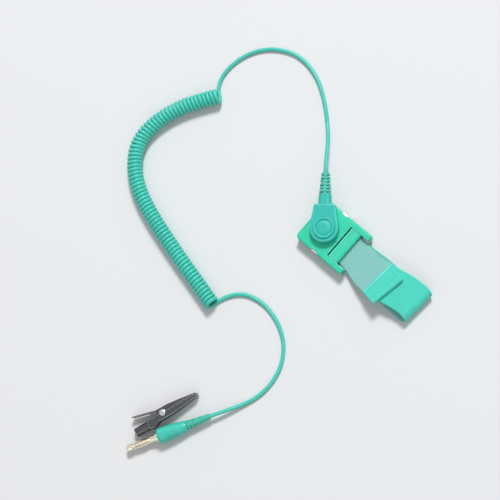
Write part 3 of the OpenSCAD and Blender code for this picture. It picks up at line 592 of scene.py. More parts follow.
def poured(bm: Shape, name: str) -> bpy.types.Mesh:
    """Turns a shape into a mesh, and frees it."""
    mesh = bpy.data.meshes.new(name)
    bm.to_mesh(mesh)
    bm.free()
    return mesh


def shown(name: str, data: bpy.types.ID) -> bpy.types.Object:
    """Puts a mesh, curve, lamp or camera into the scene."""
    thing = bpy.data.objects.new(name, data)
    bpy.context.scene.collection.objects.link(thing)
    return thing


def joined(shapes: Iterable[Shape]) -> Shape:
    """Puts several shapes into one and frees them."""
    whole = bmesh.new()
    for shape in shapes:
        carrier = poured(shape, "carrier")
        whole.from_mesh(carrier)
        bpy.data.meshes.remove(carrier)
    return whole


def bevelled(bm: Shape, edges: Iterable[bmesh.types.BMEdge], radius: float, segments: int,
             slide: bool = False) -> list[bmesh.types.BMFace]:
    """Rounds edges.

    Args:
        bm: the shape.
        edges: the edges.
        radius: size of the rounding.
        segments: faces across it.
        slide: whether the ends of the rounding slide along the edges that they meet.

    Returns:
        The new faces.
    """
    made = bmesh.ops.bevel(bm, geom=list(edges), offset=radius, offset_type="OFFSET",
                           segments=segments, profile=0.5, affect="EDGES", material=-1,
                           clamp_overlap=False, loop_slide=slide)
    return made["faces"]


def rolled(bm: Shape, height: float, radius: float, segments: int) -> None:
    """Rounds the edges that lie at a height, and marks the new faces as slightly scuffed and
    faintly painted with a highlight.
    """
    wear_and_highlight = bm.faces.layers.float.get(WEAR_AND_HIGHLIGHT) or bm.faces.layers.float.new(WEAR_AND_HIGHLIGHT)
    edges = [e for e in bm.edges if all(abs(v.co.z - height) < 1e-4 for v in e.verts)]
    for face in bevelled(bm, edges, radius, segments):
        face[wear_and_highlight] = SLIGHT_WEAR_AND_HIGHLIGHT


def carved(body: Shape, added: Iterable[Shape], cut: Iterable[Shape]) -> Shape:
    """Adds shapes to a body and then cuts others out of it. All are freed.

    Args:
        body: the closed shape to start from.
        added: closed shapes that become part of it.
        cut: closed shapes taken out of it.

    Returns:
        The carved shape.
    """
    stock = shown("held", poured(body, "held"))
    tools = []
    for operation, shapes in (("UNION", added), ("DIFFERENCE", cut)):
        for shape in shapes:
            tools.append(shown("held", poured(shape, "held")))
            change = stock.modifiers.new("carve", "BOOLEAN")
            change.solver, change.operation, change.object = "EXACT", operation, tools[-1]
    bpy.context.view_layer.update()
    made = bmesh.new()
    made.from_object(stock, bpy.context.evaluated_depsgraph_get())
    for holder in (stock, *tools):
        bpy.data.meshes.remove(holder.data)
    return sealed(made)


def rounded_copy(node: str, radius: float, least: float = 0.0, merge: float = 0.02) -> Shape:
    """Copies a CAD node's shape, rounds its sharp edges and marks the new faces as scuffed, which
    paints them with a highlight.

    Args:
        node: name of the node.
        radius: size of the rounding.
        least: length from which a new face counts as scuffed and takes the painted highlight.
        merge: distance within which points of the copy are merged.

    Returns:
        The copy, in millimetres.
    """
    bm = bmesh.new()
    bm.from_mesh(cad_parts[node].data)
    bmesh.ops.scale(bm, vec=(1 / MM,) * 3, verts=bm.verts)
    bmesh.ops.remove_doubles(bm, verts=bm.verts, dist=merge)
    bmesh.ops.dissolve_limit(bm, angle_limit=math.radians(1.0), verts=bm.verts, edges=bm.edges)
    wear_and_highlight = bm.faces.layers.float.new(WEAR_AND_HIGHLIGHT)
    blunt = math.radians(32.0)
    sharp = [e for e in bm.edges if e.is_manifold and e.calc_face_angle(0.0) > blunt]
    for face in bevelled(bm, sharp, radius, 2, slide=True):
        face[wear_and_highlight] = float(max(e.calc_length() for e in face.edges) > least)
    return bm


def bridges(gaps: Sequence[tuple[float, float, float, float]], core: float) -> list[Shape]:
    """Bridges across the gaps between a relief's ribs, in turn above and below and at both sides.

    Args:
        gaps: start and end of each gap along Z, and its bridges' reach along X and along Y.
        core: radius inside which they start.

    Returns:
        The bridges, two in each gap.
    """
    made = []
    breadth, edge = 0.62, 0.14
    for i, (low, high, tall, wide) in enumerate(gaps):
        reach, turn = (tall, 0.0) if i % 2 else (wide, 90.0)
        for side in (0.0, 180.0):
            bm = bmesh.new()
            size = Matrix.Diagonal((reach - core, breadth * wide, high - low, 1.0))
            middle = Matrix.Translation(((reach + core) / 2, 0.0, (low + high) / 2))
            bmesh.ops.create_cube(bm, size=1.0, matrix=middle @ size)
            bevelled(bm, bm.edges, edge, 2)
            bmesh.ops.rotate(bm, verts=bm.verts, cent=CENTRE,
                             matrix=Matrix.Rotation(math.radians(turn + side), 3, "Z"))
            made.append(bm)
    return made


def add_piece(name: str, bm: Shape, finish: Finish | Sequence[Finish], body: Body,
              nodes: Sequence[str] = (), place: Matrix | None = None,
              sharp: float = 40.0) -> bpy.types.Object:
    """Turns a shape into a finished piece.

    Args:
        name: name of the piece.
        bm: its shape in millimetres, which is freed.
        finish: its finish, or one for each material index.
        body: the body that it rides on.
        nodes: CAD nodes that it stands for.
        place: where its own frame lies in the row frame, in millimetres.
        sharp: angle past which an edge shows, in degrees.

    Returns:
        The piece.
    """
    scale = Matrix.Scale(MM, 4)
    mesh = poured(moved(bm, scale @ place if place else scale), name)
    mesh.shade_smooth()
    mesh.set_sharp_from_angle(angle=math.radians(sharp))
    for one in [finish] if isinstance(finish, Finish) else finish:
        mesh.materials.append(one.material())
    piece = shown(name, mesh)
    piece.modifiers.new("even_shading", "WEIGHTED_NORMAL").keep_sharp = True
    return seated(piece, body, nodes)


def seated(piece: bpy.types.Object, body: Body,
           nodes: Sequence[str]) -> bpy.types.Object:
    """Sets a piece on its body and the nodes that it stands for, and reports it."""
    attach(piece, body.value)
    if nodes:
        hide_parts(*nodes)
    LOG.info("%s on %s, for %s", piece.name, body.value, ", ".join(nodes) or "no node")
    return piece


def dress(node: str, finish: Finish) -> bpy.types.Object:
    """Gives a CAD node a finish, and returns it."""
    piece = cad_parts[node]
    piece.data.materials.clear()
    piece.data.materials.append(finish.material())
    LOG.info("%s keeps its own shape, in %s", node, finish.name)
    return piece


def wire(name: str, points: Sequence[Vector], radius: float, finish: Finish) -> bpy.types.Object:
    """Draws a round wire along points in millimetres as a curve of one open spline."""
    line = bpy.data.curves.new(name, "CURVE")
    line.dimensions = "3D"
    line.bevel_depth = radius * MM
    line.bevel_resolution = 3
    line.use_fill_caps = True
    spline = line.splines.new("POLY")
    spline.points.add(len(points) - 1)
    for target, point in zip(spline.points, points):
        target.co = (*(point * MM), 1.0)
    spline.use_smooth = True
    line.materials.append(finish.material())
    return shown(name, line)


def meshed(line: bpy.types.Object) -> bpy.types.Object:
    """Swaps a drawn wire for a mesh of the same name and shape."""
    bpy.context.view_layer.update()
    drawn = line.evaluated_get(bpy.context.evaluated_depsgraph_get())
    mesh = bpy.data.meshes.new_from_object(drawn)
    mesh.name = name = line.name
    bpy.data.curves.remove(line.data)
    return shown(name, mesh)


def flowing(points: Sequence[Vector], parts: int) -> list[Vector]:
    """Runs a smooth line through its points, with a number of parts between each two."""
    made: list[Vector] = []
    padded = [points[0], *points, points[-1]]
    for a, b, c, d in zip(padded, padded[1:], padded[2:], padded[3:]):
        for k in range(parts):
            t = k / parts
            made.append(0.5 * (2 * b + (c - a) * t + (2 * a - 5 * b + 4 * c - d) * t**2
                               + (3 * b - 3 * c + d - a) * t**3))
    return [*made, points[-1]]


def travelled(points: Sequence[Vector]) -> list[float]:
    """How far along a line each of its points is."""
    return list(accumulate(((b - a).length for a, b in pairwise(points)), initial=0.0))


def slope(curve: Callable[[float], float], x: float) -> float:
    """Slope of a curve at a place."""
    step = 0.01
    return (curve(x + step) - curve(x)) / step


def direction(turn: float) -> Vector:
    """Level direction at a turn from X, in degrees."""
    return Vector((math.cos(math.radians(turn)), math.sin(math.radians(turn)), 0.0))


def turned(turn: float, at: Sequence[float]) -> Matrix:
    """Frame at a point, turned about Z by an angle in degrees."""
    return Matrix.Translation(at) @ Matrix.Rotation(math.radians(turn), 4, "Z")


# ---- Studio ----


class Lamp(NamedTuple):
    """A square soft lamp: its name, place, power in watts and side."""

    name: str
    place: Triple
    power: float
    side: float


@dataclass
class Studio:
    """Camera, floor, world and lamps. Sizes are in metres."""

    eye: Triple = (0.22437, -0.02111, 0.88594)
    right: Triple = (0.77415, 0.63283, -0.01474)
    top: Triple = (-0.60707, 0.74883, 0.26592)
    aim: Triple = (-0.0260, -0.0360, 0.0040)
    lens: float = 118.0
    floor_side: float = 6.0
    floor_gap: float = 0.0001
    light: float = 0.42
    lamps: tuple[Lamp, ...] = (Lamp("key", (-1.03, 2.17, 3.29), 129.6, 0.90),
                               Lamp("fill", (1.40, -1.28, 2.09), 8.1, 1.80))

    def camera(self) -> None:
        """Makes the camera above the object, turned to it without rolling."""
        side, above = Vector(self.right), Vector(self.top)
        ahead = above.cross(side)
        target = (Vector(self.aim) - Vector(self.eye)).normalized()
        turn = ahead.rotation_difference(target).to_matrix()
        axes = Matrix((turn @ side, turn @ above, -target)).transposed()
        data = bpy.data.cameras.new("camera")
        data.lens = self.lens
        data.sensor_width = 36.0
        data.clip_start = 0.01
        camera = shown("camera", data)
        camera.matrix_world = Matrix.Translation(self.eye) @ axes.to_4x4()
        bpy.context.scene.camera = camera

    def floor(self) -> None:
        """Lays the floor under the object."""
        bm = bmesh.new()
        bmesh.ops.create_grid(bm, x_segments=4, y_segments=4, size=self.floor_side / 2)
        bmesh.ops.translate(bm, verts=bm.verts, vec=(0.0, 0.0, -self.floor_gap))
        floor = shown("floor", poured(bm, "floor"))
        floor.data.materials.append(FLOOR.material())

    def world(self) -> None:
        """Fills the room with even light, and shows a pale backdrop to the camera and mirrors."""
        world = bpy.data.worlds.new("world")
        bpy.context.scene.world = world
        world.use_nodes = True
        shader = Shader(world.node_tree)
        background = shader.tree.nodes["Background"].inputs
        shader.feed(background["Color"], (1.0, 1.0, 1.0, 1.0))
        strength = shader.between(shader.seen(), self.light, BACKDROP)
        shader.feed(background["Strength"], strength)

    def hang(self, lamp: Lamp) -> None:
        """Hangs a lamp that faces the object."""
        data = bpy.data.lights.new(lamp.name, "AREA")
        data.energy = lamp.power
        data.size = lamp.side
        hung = shown(lamp.name, data)
        hung.location = lamp.place
        hung.rotation_mode = "QUATERNION"
        facing = Vector(self.aim) - Vector(lamp.place)
        hung.rotation_quaternion = facing.to_track_quat("-Z", "Y")

    def build(self) -> None:
        """Sets up the studio."""
        self.camera()
        self.floor()
        self.world()
        for lamp in self.lamps:
            self.hang(lamp)
        bpy.context.scene.view_settings.view_transform = "Standard"
        LOG.info("studio set up")


# ---- Ground cord ----


@dataclass
class GroundCord:
    """The whole cord as one line: lead from the connector, coil, and lead to the plug.

    The route repeats the solids' own points.
    """

    radius: float = 1.1
    length: float = 1820.0
    coil_radius: float = 4.55
    turns: int = 72
    points_per_turn: int = 18
    seat: float = 0.05
    straight: float = 4.0
    relief_tip: float = 31.5
    coil_plan: tuple[Point, ...] = (
        (-100.3, 17.7), (-104.9, 11.5), (-109.6, 4.6), (-113.6, -2.8), (-116.6, -10.6),
        (-118.4, -18.6), (-118.6, -26.6), (-116.6, -34.2), (-112.2, -41.0), (-106.2, -46.8),
        (-99.0, -51.4), (-91.0, -55.0), (-82.5, -57.9), (-73.8, -60.4), (-65.0, -62.7),
        (-56.2, -64.9), (-47.5, -66.9), (-39.0, -68.8), (-31.0, -70.6), (-23.2, -72.4))
    fall: tuple[Triple, ...] = ((-27.2, 32.3, 8.6), (-31.2, 36.9, 5.6), (-35.4, 41.3, 2.9))
    first_plan: tuple[Point, ...] = (
        (-40.0, 45.6), (-45.0, 50.2), (-50.0, 54.3), (-55.5, 58.2), (-61.5, 61.6), (-68.0, 64.0),
        (-75.0, 65.2), (-82.0, 64.8), (-88.5, 62.6), (-94.5, 59.0), (-99.5, 54.2), (-103.3, 48.4),
        (-105.8, 42.0), (-107.0, 35.4), (-106.8, 29.6), (-105.4, 24.8))
    second_plan: tuple[Point, ...] = (
        (-18.6, -63.4), (-15.0, -59.0), (-10.4, -56.0), (-4.8, -54.4), (1.2, -54.0), (7.2, -54.9),
        (12.8, -56.7), (18.0, -59.4), (22.6, -62.9), (26.4, -67.3), (29.4, -72.4), (31.3, -78.0),
        (32.2, -84.0), (32.0, -90.2), (30.8, -96.2))
    rise: tuple[Triple, ...] = ((28.8, -101.4, 1.4), (26.2, -106.6, 2.5), (23.7, -111.4, 3.7))

    def mouth(self) -> Vector:
        """Where the cord leaves the connector's relief."""
        return self.relief_tip * direction(CONNECTOR_TURN) + CORD_HEIGHT * UP

    def on_floor(self, plan: Sequence[Point]) -> list[Vector]:
        """Points of a plan at the height of a cord that lies on the floor."""
        return [Vector((x, y, self.radius)) for x, y in plan]

    def axis(self) -> list[Vector]:
        """Middle line of the coil, with the half turn of room that each lead takes at its ends."""
        plan = [Vector((x, y, self.coil_radius)) for x, y in self.coil_plan]
        reach = self.radius + self.seat
        first, last = (plan[1] - plan[0]).normalized(), (plan[-1] - plan[-2]).normalized()
        return [plan[0] - reach * first, *plan, plan[-1] + reach * last]

    def helix(self) -> list[Vector]:
        """The coil's turns, wound evenly on its middle line. They start and end at the bottom."""
        line = flowing(self.axis(), 12)
        passed = travelled(line)
        steps = self.turns * self.points_per_turn
        winding = self.coil_radius - self.radius
        made: list[Vector] = []
        at = 0
        for i in range(steps + 1):
            goal = passed[-1] * i / steps
            while at < len(line) - 2 and passed[at + 1] < goal:
                at += 1
            share = (goal - passed[at]) / (passed[at + 1] - passed[at])
            heading = (line[at + 1] - line[at]).normalized()
            if 0 < at < len(line) - 2:
                before, after = line[at] - line[at - 1], line[at + 2] - line[at + 1]
                nearby = before.normalized() * (1 - share) + after.normalized() * share
                heading = (nearby + heading).normalized()
            left = UP.cross(heading)
            phase = math.tau * i / self.points_per_turn - math.pi / 2
            middle = line[at].lerp(line[at + 1], share)
            made.append(middle + winding * (math.cos(phase) * left + math.sin(phase) * UP))
        return made

    def route(self) -> list[Vector]:
        """The whole cord from the connector to the plug."""
        out, away = (self.straight * direction(a) for a in (CONNECTOR_TURN, PLUG_TURN))
        coil, axis, plug = self.helix(), self.axis(), Vector(PLUG_AT)
        start_left, end_left = (self.straight * UP.cross((b - a).normalized())
                                for a, b in (axis[:2], axis[-2:]))
        first = [self.mouth(), self.mouth() + out, *map(Vector, self.fall),
                 *self.on_floor(self.first_plan), coil[0] - start_left, coil[0]]
        second = [coil[-1], coil[-1] + end_left, *self.on_floor(self.second_plan),
                  *map(Vector, self.rise), plug - away, plug]
        return flowing(first, 4)[:-1] + coil + flowing(second, 4)[1:]

    def build(self) -> bpy.types.Object:
        """Draws the cord."""
        route = self.route()
        cord = wire("ground_cord", route, self.radius, CORD_TEAL)
        seated(cord, Body.CORD_SET, ("lead_connector", "cord_coil", "lead_plug"))
        LOG.info("ground_cord is %.0f mm long", travelled(route)[-1])
        return cord

    def declare(self, ends: Sequence[bpy.types.Object]) -> None:
        self.mouth() * MM


# ---- Band ----


class Station(NamedTuple):
    """A place on the band: its middle and the direction across it."""

    middle: Vector
    across: Vector


@dataclass
class ElasticBand:
    """The elastic band: clamped end, loop, wrap round the bar, and tail with a sewn hem."""

    width: float = 21.0
    drawn: float = 0.9
    thickness: float = 1.0
    ribs: int = 13
    rib_height: float = 0.09
    clamp_end: float = 6.0
    frame_height: float = 2.1
    frame_end: float = 22.93
    full_width: float = 39.93
    fold: Point = (-8.8, 1.05)
    end: Point = (64.25, 3.25)
    low: float = 2.8
    crest: Point = (47.93, 8.5)
    end_height: float = 7.0
    climb: float = 23.93
    bar: Point = (12.45, 4.2)
    wrap: float = 1.4
    leave: float = 35.0
    layer: float = 1.1
    lift: float = 0.1
    bend: Point = (15.79, 1.5)
    bow_start: float = 18.43
    dip: Point = (35.93, -2.3)
    back: float = 62.05
    swing: float = 3.7
    tail_drift: float = 1.7
    base_drift: float = -1.0
    fold_turn: float = -4.0
    turn_length: float = 12.0
    reach: float = 50.5
    hem: Point = (49.35, 0.65)
    hem_length: float = 9.5
    hem_press: float = 0.25
    hem_curl: float = 0.3
    bead: float = 0.55
    hem_curl_length: float = 1.3
    seam_rows: Point = (43.1, 47.9)
    seam_reach: float = 0.9
    seam_margin: float = 2.0
    stitch_pitch: float = 1.55
    stitch: Triple = (1.271, 0.32, 0.3)
    stitch_dip: float = 0.12
    side_round: float = 0.35
    pace: float = 0.7

    @property
    def cut(self) -> float:
        """Where the hem's cut end lies."""
        return self.reach - self.hem_length

    @staticmethod
    def swell(share: float) -> float:
        """A smooth rise from 0 to 1."""
        return (1 - math.cos(math.pi * max(0.0, min(1.0, share)))) / 2

    def upper(self, x: float) -> float:
        """Height of the middle of the loop's upper layer."""
        top_x, top = self.crest
        if x < top_x:
            return self.low + (top - self.low) * self.swell((x - self.climb) / (top_x - self.climb))
        return top - (top - self.end_height) * self.swell((x - top_x) / (self.end[0] - top_x))

    def tail(self, x: float) -> float:
        """Height of the middle of the tail."""
        gap = self.layer + self.lift * self.swell((x - self.frame_end) / self.turn_length)
        return self.upper(x) + gap * math.hypot(1.0, slope(self.upper, x))

    def breadth(self, x: float) -> float:
        """Width of the band as a share of its free width: it is drawn narrow in the buckle."""
        spread = self.swell((x - self.frame_end) / (self.full_width - self.frame_end))
        return self.drawn + (1 - self.drawn) * spread

    def bow(self, x: float) -> float:
        """Sideways bow that the loop and the tail share."""
        return self.dip[1] * self.swell((x - self.bow_start) / (self.dip[0] - self.bow_start))

    def loop_sway(self, x: float) -> float:
        """Sideways place of the loop's upper layer."""
        return self.bow(x) + self.swing * self.swell((x - self.dip[0]) / (self.back - self.dip[0]))

    def tail_sway(self, x: float) -> float:
        """Sideways place of the tail."""
        past = max(0.0, x - self.dip[0]) / (self.reach - self.dip[0])
        return self.bow(x) - self.tail_drift * past**1.6

    def base_sway(self, x: float) -> float:
        """Sideways place of the lower layer."""
        return self.base_drift * self.swell((x - self.frame_end) / (self.end[0] - self.frame_end))

    def end_turn(self, x: float) -> float:
        """Turn in plan that a layer takes towards the open end, in degrees."""
        return self.fold_turn * self.swell((x - self.end[0] + self.turn_length) / self.turn_length)

    def station(self, x: float, y: float, z: float, turn: float = 0.0,
                climb: float = 0.0) -> Station:
        """A station whose direction across is turned in plan and keeps to the layer's slope.

        Args:
            x: its place along the band.
            y: its place aside.
            z: height of its middle.
            turn: turn in plan, in degrees.
            climb: slope of the layer.

        Returns:
            The station.
        """
        side, ahead = math.sin(math.radians(turn)), math.cos(math.radians(turn))
        across = Vector((-side, ahead, -side * climb)).normalized()
        return Station(Vector((x, y, z)), self.breadth(x) * across)

    def on_base(self, x: float) -> Station:
        """A station of the lower layer."""
        return self.station(x, self.base_sway(x), self.thickness / 2, self.end_turn(x))

    def on_loop(self, x: float) -> Station:
        """A station of the loop's upper layer."""
        turn = math.degrees(math.atan(slope(self.loop_sway, x))) + self.end_turn(x)
        return self.station(x, self.loop_sway(x), self.upper(x), turn, slope(self.upper, x))

    def on_tail(self, x: float, z: float) -> Station:
        """A station of the tail or its hem."""
        turn = math.degrees(math.atan(slope(self.tail_sway, x)))
        return self.station(x, self.tail_sway(x), z, turn, slope(self.upper, x))

    def spaced(self, start: float, end: float) -> list[float]:
        """Evenly spaced places from start to end, both left out."""
        count = max(2, round(abs(end - start) / self.pace))
        return [start + (end - start) * i / count for i in range(1, count)]

    def stations(self) -> list[Station]:
        """Every station from the clamped end to the end of the hem."""
        half = self.thickness / 2
        fold_x, fold_r = self.fold
        end_x, end_r = self.end
        clamp = self.frame_height + half
        flat = [(x, clamp) for x in (self.clamp_end, *self.spaced(self.clamp_end, fold_x))]
        flat += arc((fold_x, fold_r + half), fold_r, 90, 270, steps=14)
        made = [self.station(x, 0.0, z) for x, z in flat]
        made += [self.on_base(x) for x in self.spaced(fold_x, end_x)]
        turns = 24
        from_side, to_side = self.base_sway(end_x), self.loop_sway(end_x)
        for i, (x, z) in enumerate(arc((end_x, end_r + half), end_r, -90, 90, turns)):
            aside = from_side + (to_side - from_side) * i / turns
            made.append(self.station(x, aside, z, self.fold_turn))
        made += [self.on_loop(x) for x in self.spaced(end_x, self.climb)]
        start = self.on_loop(self.climb)
        for x in self.spaced(self.climb, self.bar[0]):
            share = (x - self.bar[0]) / (self.climb - self.bar[0])
            made.append(self.station(x, start.middle.y * share, self.low))
        wrap = arc(self.bar, self.wrap, -90, -270 - self.leave, steps=18)
        bend_x, bend_r = self.bend
        foot = self.tail(bend_x) + bend_r
        wrap += arc((bend_x, foot), bend_r, 270 - self.leave, 270, steps=5)
        made += [self.station(x, 0.0, z) for x, z in wrap]
        hem_x, hem_r = self.hem
        made += [self.on_tail(x, self.tail(x)) for x in self.spaced(bend_x, hem_x)]
        hem = arc((hem_x, self.tail(hem_x) + hem_r), hem_r, -90, 90, steps=10)
        made += [self.on_tail(x, z) for x, z in hem]
        turned_back = [*self.spaced(hem_x, self.cut), self.cut]
        made += [self.on_tail(x, self.hem_top(x)) for x in turned_back]
        return made

    def hem_top(self, x: float) -> float:
        """Height of the hem's turned layer: its seams press it down and its cut end curls up."""
        hem_x, hem_r = self.hem
        near = min(abs(x - row) for row in self.seam_rows) / self.seam_reach
        pressed = self.hem_press * math.exp(-(near**2))
        pressed += 0.5 * self.hem_press * self.swell((hem_x - x) / 2)
        curl = (self.cut + self.hem_curl_length - x) / self.hem_curl_length
        free = self.tail(x) + 2 * hem_r * math.hypot(1.0, slope(self.upper, x))
        return free - pressed + self.hem_curl * self.swell(curl)

    def section(self) -> list[tuple[float, float, Face]]:
        """Closed outline across the band: its place across, height over the middle and face."""
        side, half = self.width / 2, self.thickness / 2
        steps = self.ribs * 4
        inset = self.side_round
        bulge, sharpness = 0.7 * half, 0.7
        made = []
        for face, way in ((Face.OUTER, 1.0), (Face.INNER, -1.0)):
            for i in range(steps + 1):
                share = i / steps
                rib = self.rib_height * self.rib_rise(share) ** sharpness
                across = way * (2 * share - 1) * (side - inset)
                made.append((across, -way * (half - self.rib_height + rib), face))
            for turn in (-45.0, 0.0, 45.0):
                reach = way * (side - inset + inset * math.cos(math.radians(turn)))
                made.append((reach, way * bulge * math.sin(math.radians(turn)), Face.OUTER))
        return made

    def rib_rise(self, share: float) -> float:
        """Rise and fall of the ribs, 0 to 1, at a share of the band's width."""
        return abs(math.sin(math.pi * self.ribs * share))

    def shape(self) -> Shape:
        """Bends a flat grid into the band, with its map in metres along and across."""
        stations, section = self.stations(), self.section()
        columns, rows = len(stations), len(section) + 1
        bm = bmesh.new()
        chart = bm.loops.layers.uv.new(WEAVE_MAP)
        bmesh.ops.create_grid(bm, x_segments=columns - 1, y_segments=rows - 1, size=0.5)
        passed = travelled([s.middle for s in stations])
        closed = [*section, section[0]]
        sides = (math.dist(a[:2], b[:2]) for a, b in pairwise(closed))
        around = list(accumulate(sides, initial=0.0))
        places = {v: (round((v.co.x + 0.5) * (columns - 1)), round((v.co.y + 0.5) * (rows - 1)))
                  for v in bm.verts}
        for face in bm.faces:
            first = min(places[v][1] for v in face.verts)
            face.material_index = section[first][2].value
            for loop in face.loops:
                column, row = places[loop.vert]
                loop[chart].uv = (passed[column] * MM, around[row] * MM)
        for vert, (column, row) in places.items():
            here = stations[column]
            back, ahead = stations[max(column - 1, 0)], stations[min(column + 1, columns - 1)]
            normal = (ahead.middle - back.middle).cross(here.across).normalized()
            across, height, _ = closed[row]
            vert.co = here.middle + across * here.across + height * normal
        bmesh.ops.remove_doubles(bm, verts=bm.verts, dist=1e-4)
        bmesh.ops.holes_fill(bm, edges=[e for e in bm.edges if e.is_boundary], sides=0)
        bmesh.ops.recalc_face_normals(bm, faces=bm.faces)
        return bm

    def stitched(self, at: Vector, along: Vector, normal: Vector) -> Shape:
        """One stitch: a short round thread whose ends dip into the band."""
        bm = bmesh.new()
        bmesh.ops.create_uvsphere(bm, u_segments=8, v_segments=6, radius=0.5)
        bmesh.ops.scale(bm, vec=self.stitch, verts=bm.verts)
        for vert in bm.verts:
            vert.co.z -= self.stitch_dip * (2 * vert.co.x / self.stitch[0]) ** 2
        axes = Matrix((along, normal.cross(along), normal)).transposed().to_4x4()
        return moved(bm, Matrix.Translation(at) @ axes)

    def seams(self) -> Shape:
        """Two rows of stitches across the hem, on its top and on the tail's underside."""
        shapes = []
        count = int((self.width - self.seam_margin) / self.stitch_pitch)
        step, proud = 0.1, 0.02
        for row in self.seam_rows:
            for lift, way in ((self.hem_top(row), 1.0), (self.tail(row), -1.0)):
                here = self.on_tail(row, lift)
                ahead = self.on_tail(row + step, lift + self.tail(row + step) - self.tail(row))
                heading = (ahead.middle - here.middle).normalized()
                normal = heading.cross(here.across).normalized() * way
                surface = (self.thickness / 2 + proud) * normal
                for i in range(count):
                    shift = (i - (count - 1) / 2) * self.stitch_pitch
                    middle = here.middle + shift * here.across + surface
                    shapes.append(self.stitched(middle, here.across.normalized(), normal))
        return joined(shapes)

    def sealed_end(self) -> Shape:
        """Bead of melted yarn along the hem's cut end."""
        here = self.on_tail(self.cut, self.hem_top(self.cut))
        half = self.width / 2 - 0.15
        steps = 104
        ribbing, wobble, pace, least = 0.07, 0.04, 0.83, 0.02
        profile = [(0.0, -half)]
        for i in range(steps + 1):
            share = 2 * i / steps - 1
            lumps = ribbing * self.rib_rise(i / steps) + wobble * math.sin(pace * i + 1.0)
            taper = (1 - abs(share) ** 14) ** 0.5
            profile.append(((self.bead + lumps) * taper + least, share * half))
        bead = lathe([*profile, (0.0, half)], 16)
        across = here.across.normalized()
        level = across.cross(UP).normalized()
        axes = Matrix((level, across.cross(level), across)).transposed().to_4x4()
        return moved(bead, Matrix.Translation(here.middle) @ axes)

    def build(self) -> None:
        """Makes the band, its seams and its sealed end."""
        add_piece("elastic_band", self.shape(), (BAND_OUTER, BAND_INNER), Body.WRISTBAND,
                  ["band"], sharp=55.0)
        add_piece("hem_stitches", self.seams(), THREAD, Body.WRISTBAND)
        add_piece("sealed_end", self.sealed_end(), SEALED_YARN_HIGHLIGHT, Body.WRISTBAND)


# ---- Buckle ----


@dataclass
class Buckle:
    """Frame with its back plate, bar, pin and stud, and the lock lever."""

    frame_round: float = 0.22
    plate_round: float = 0.1
    lever_round: float = 0.16

    def build(self) -> None:
        """Makes the buckle's pieces."""
        body = rounded_copy("buckle_frame", self.frame_round, least=0.5, merge=0.03)
        add_piece("frame_moulding", body, MINT, Body.WRISTBAND, ["buckle_frame"])
        plate = rounded_copy("back_plate", self.plate_round)
        add_piece("plate_pressing", plate, PLATE_STEEL, Body.WRISTBAND, ["back_plate"])
        lever = rounded_copy("lock_lever", self.lever_round)
        add_piece("lever_moulding", lever, LEVER_MINT, Body.LEVER, ["lock_lever"])
        for node, finish in (("snap_stud", SNAP_NICKEL), ("stud_rivet", BRASS),
                             ("wrap_bar", PIN_STEEL), ("lever_pin", PIN_STEEL),
                             ("snap_spring", SPRING_STEEL)):
            dress(node, finish)


# ---- Connector ----


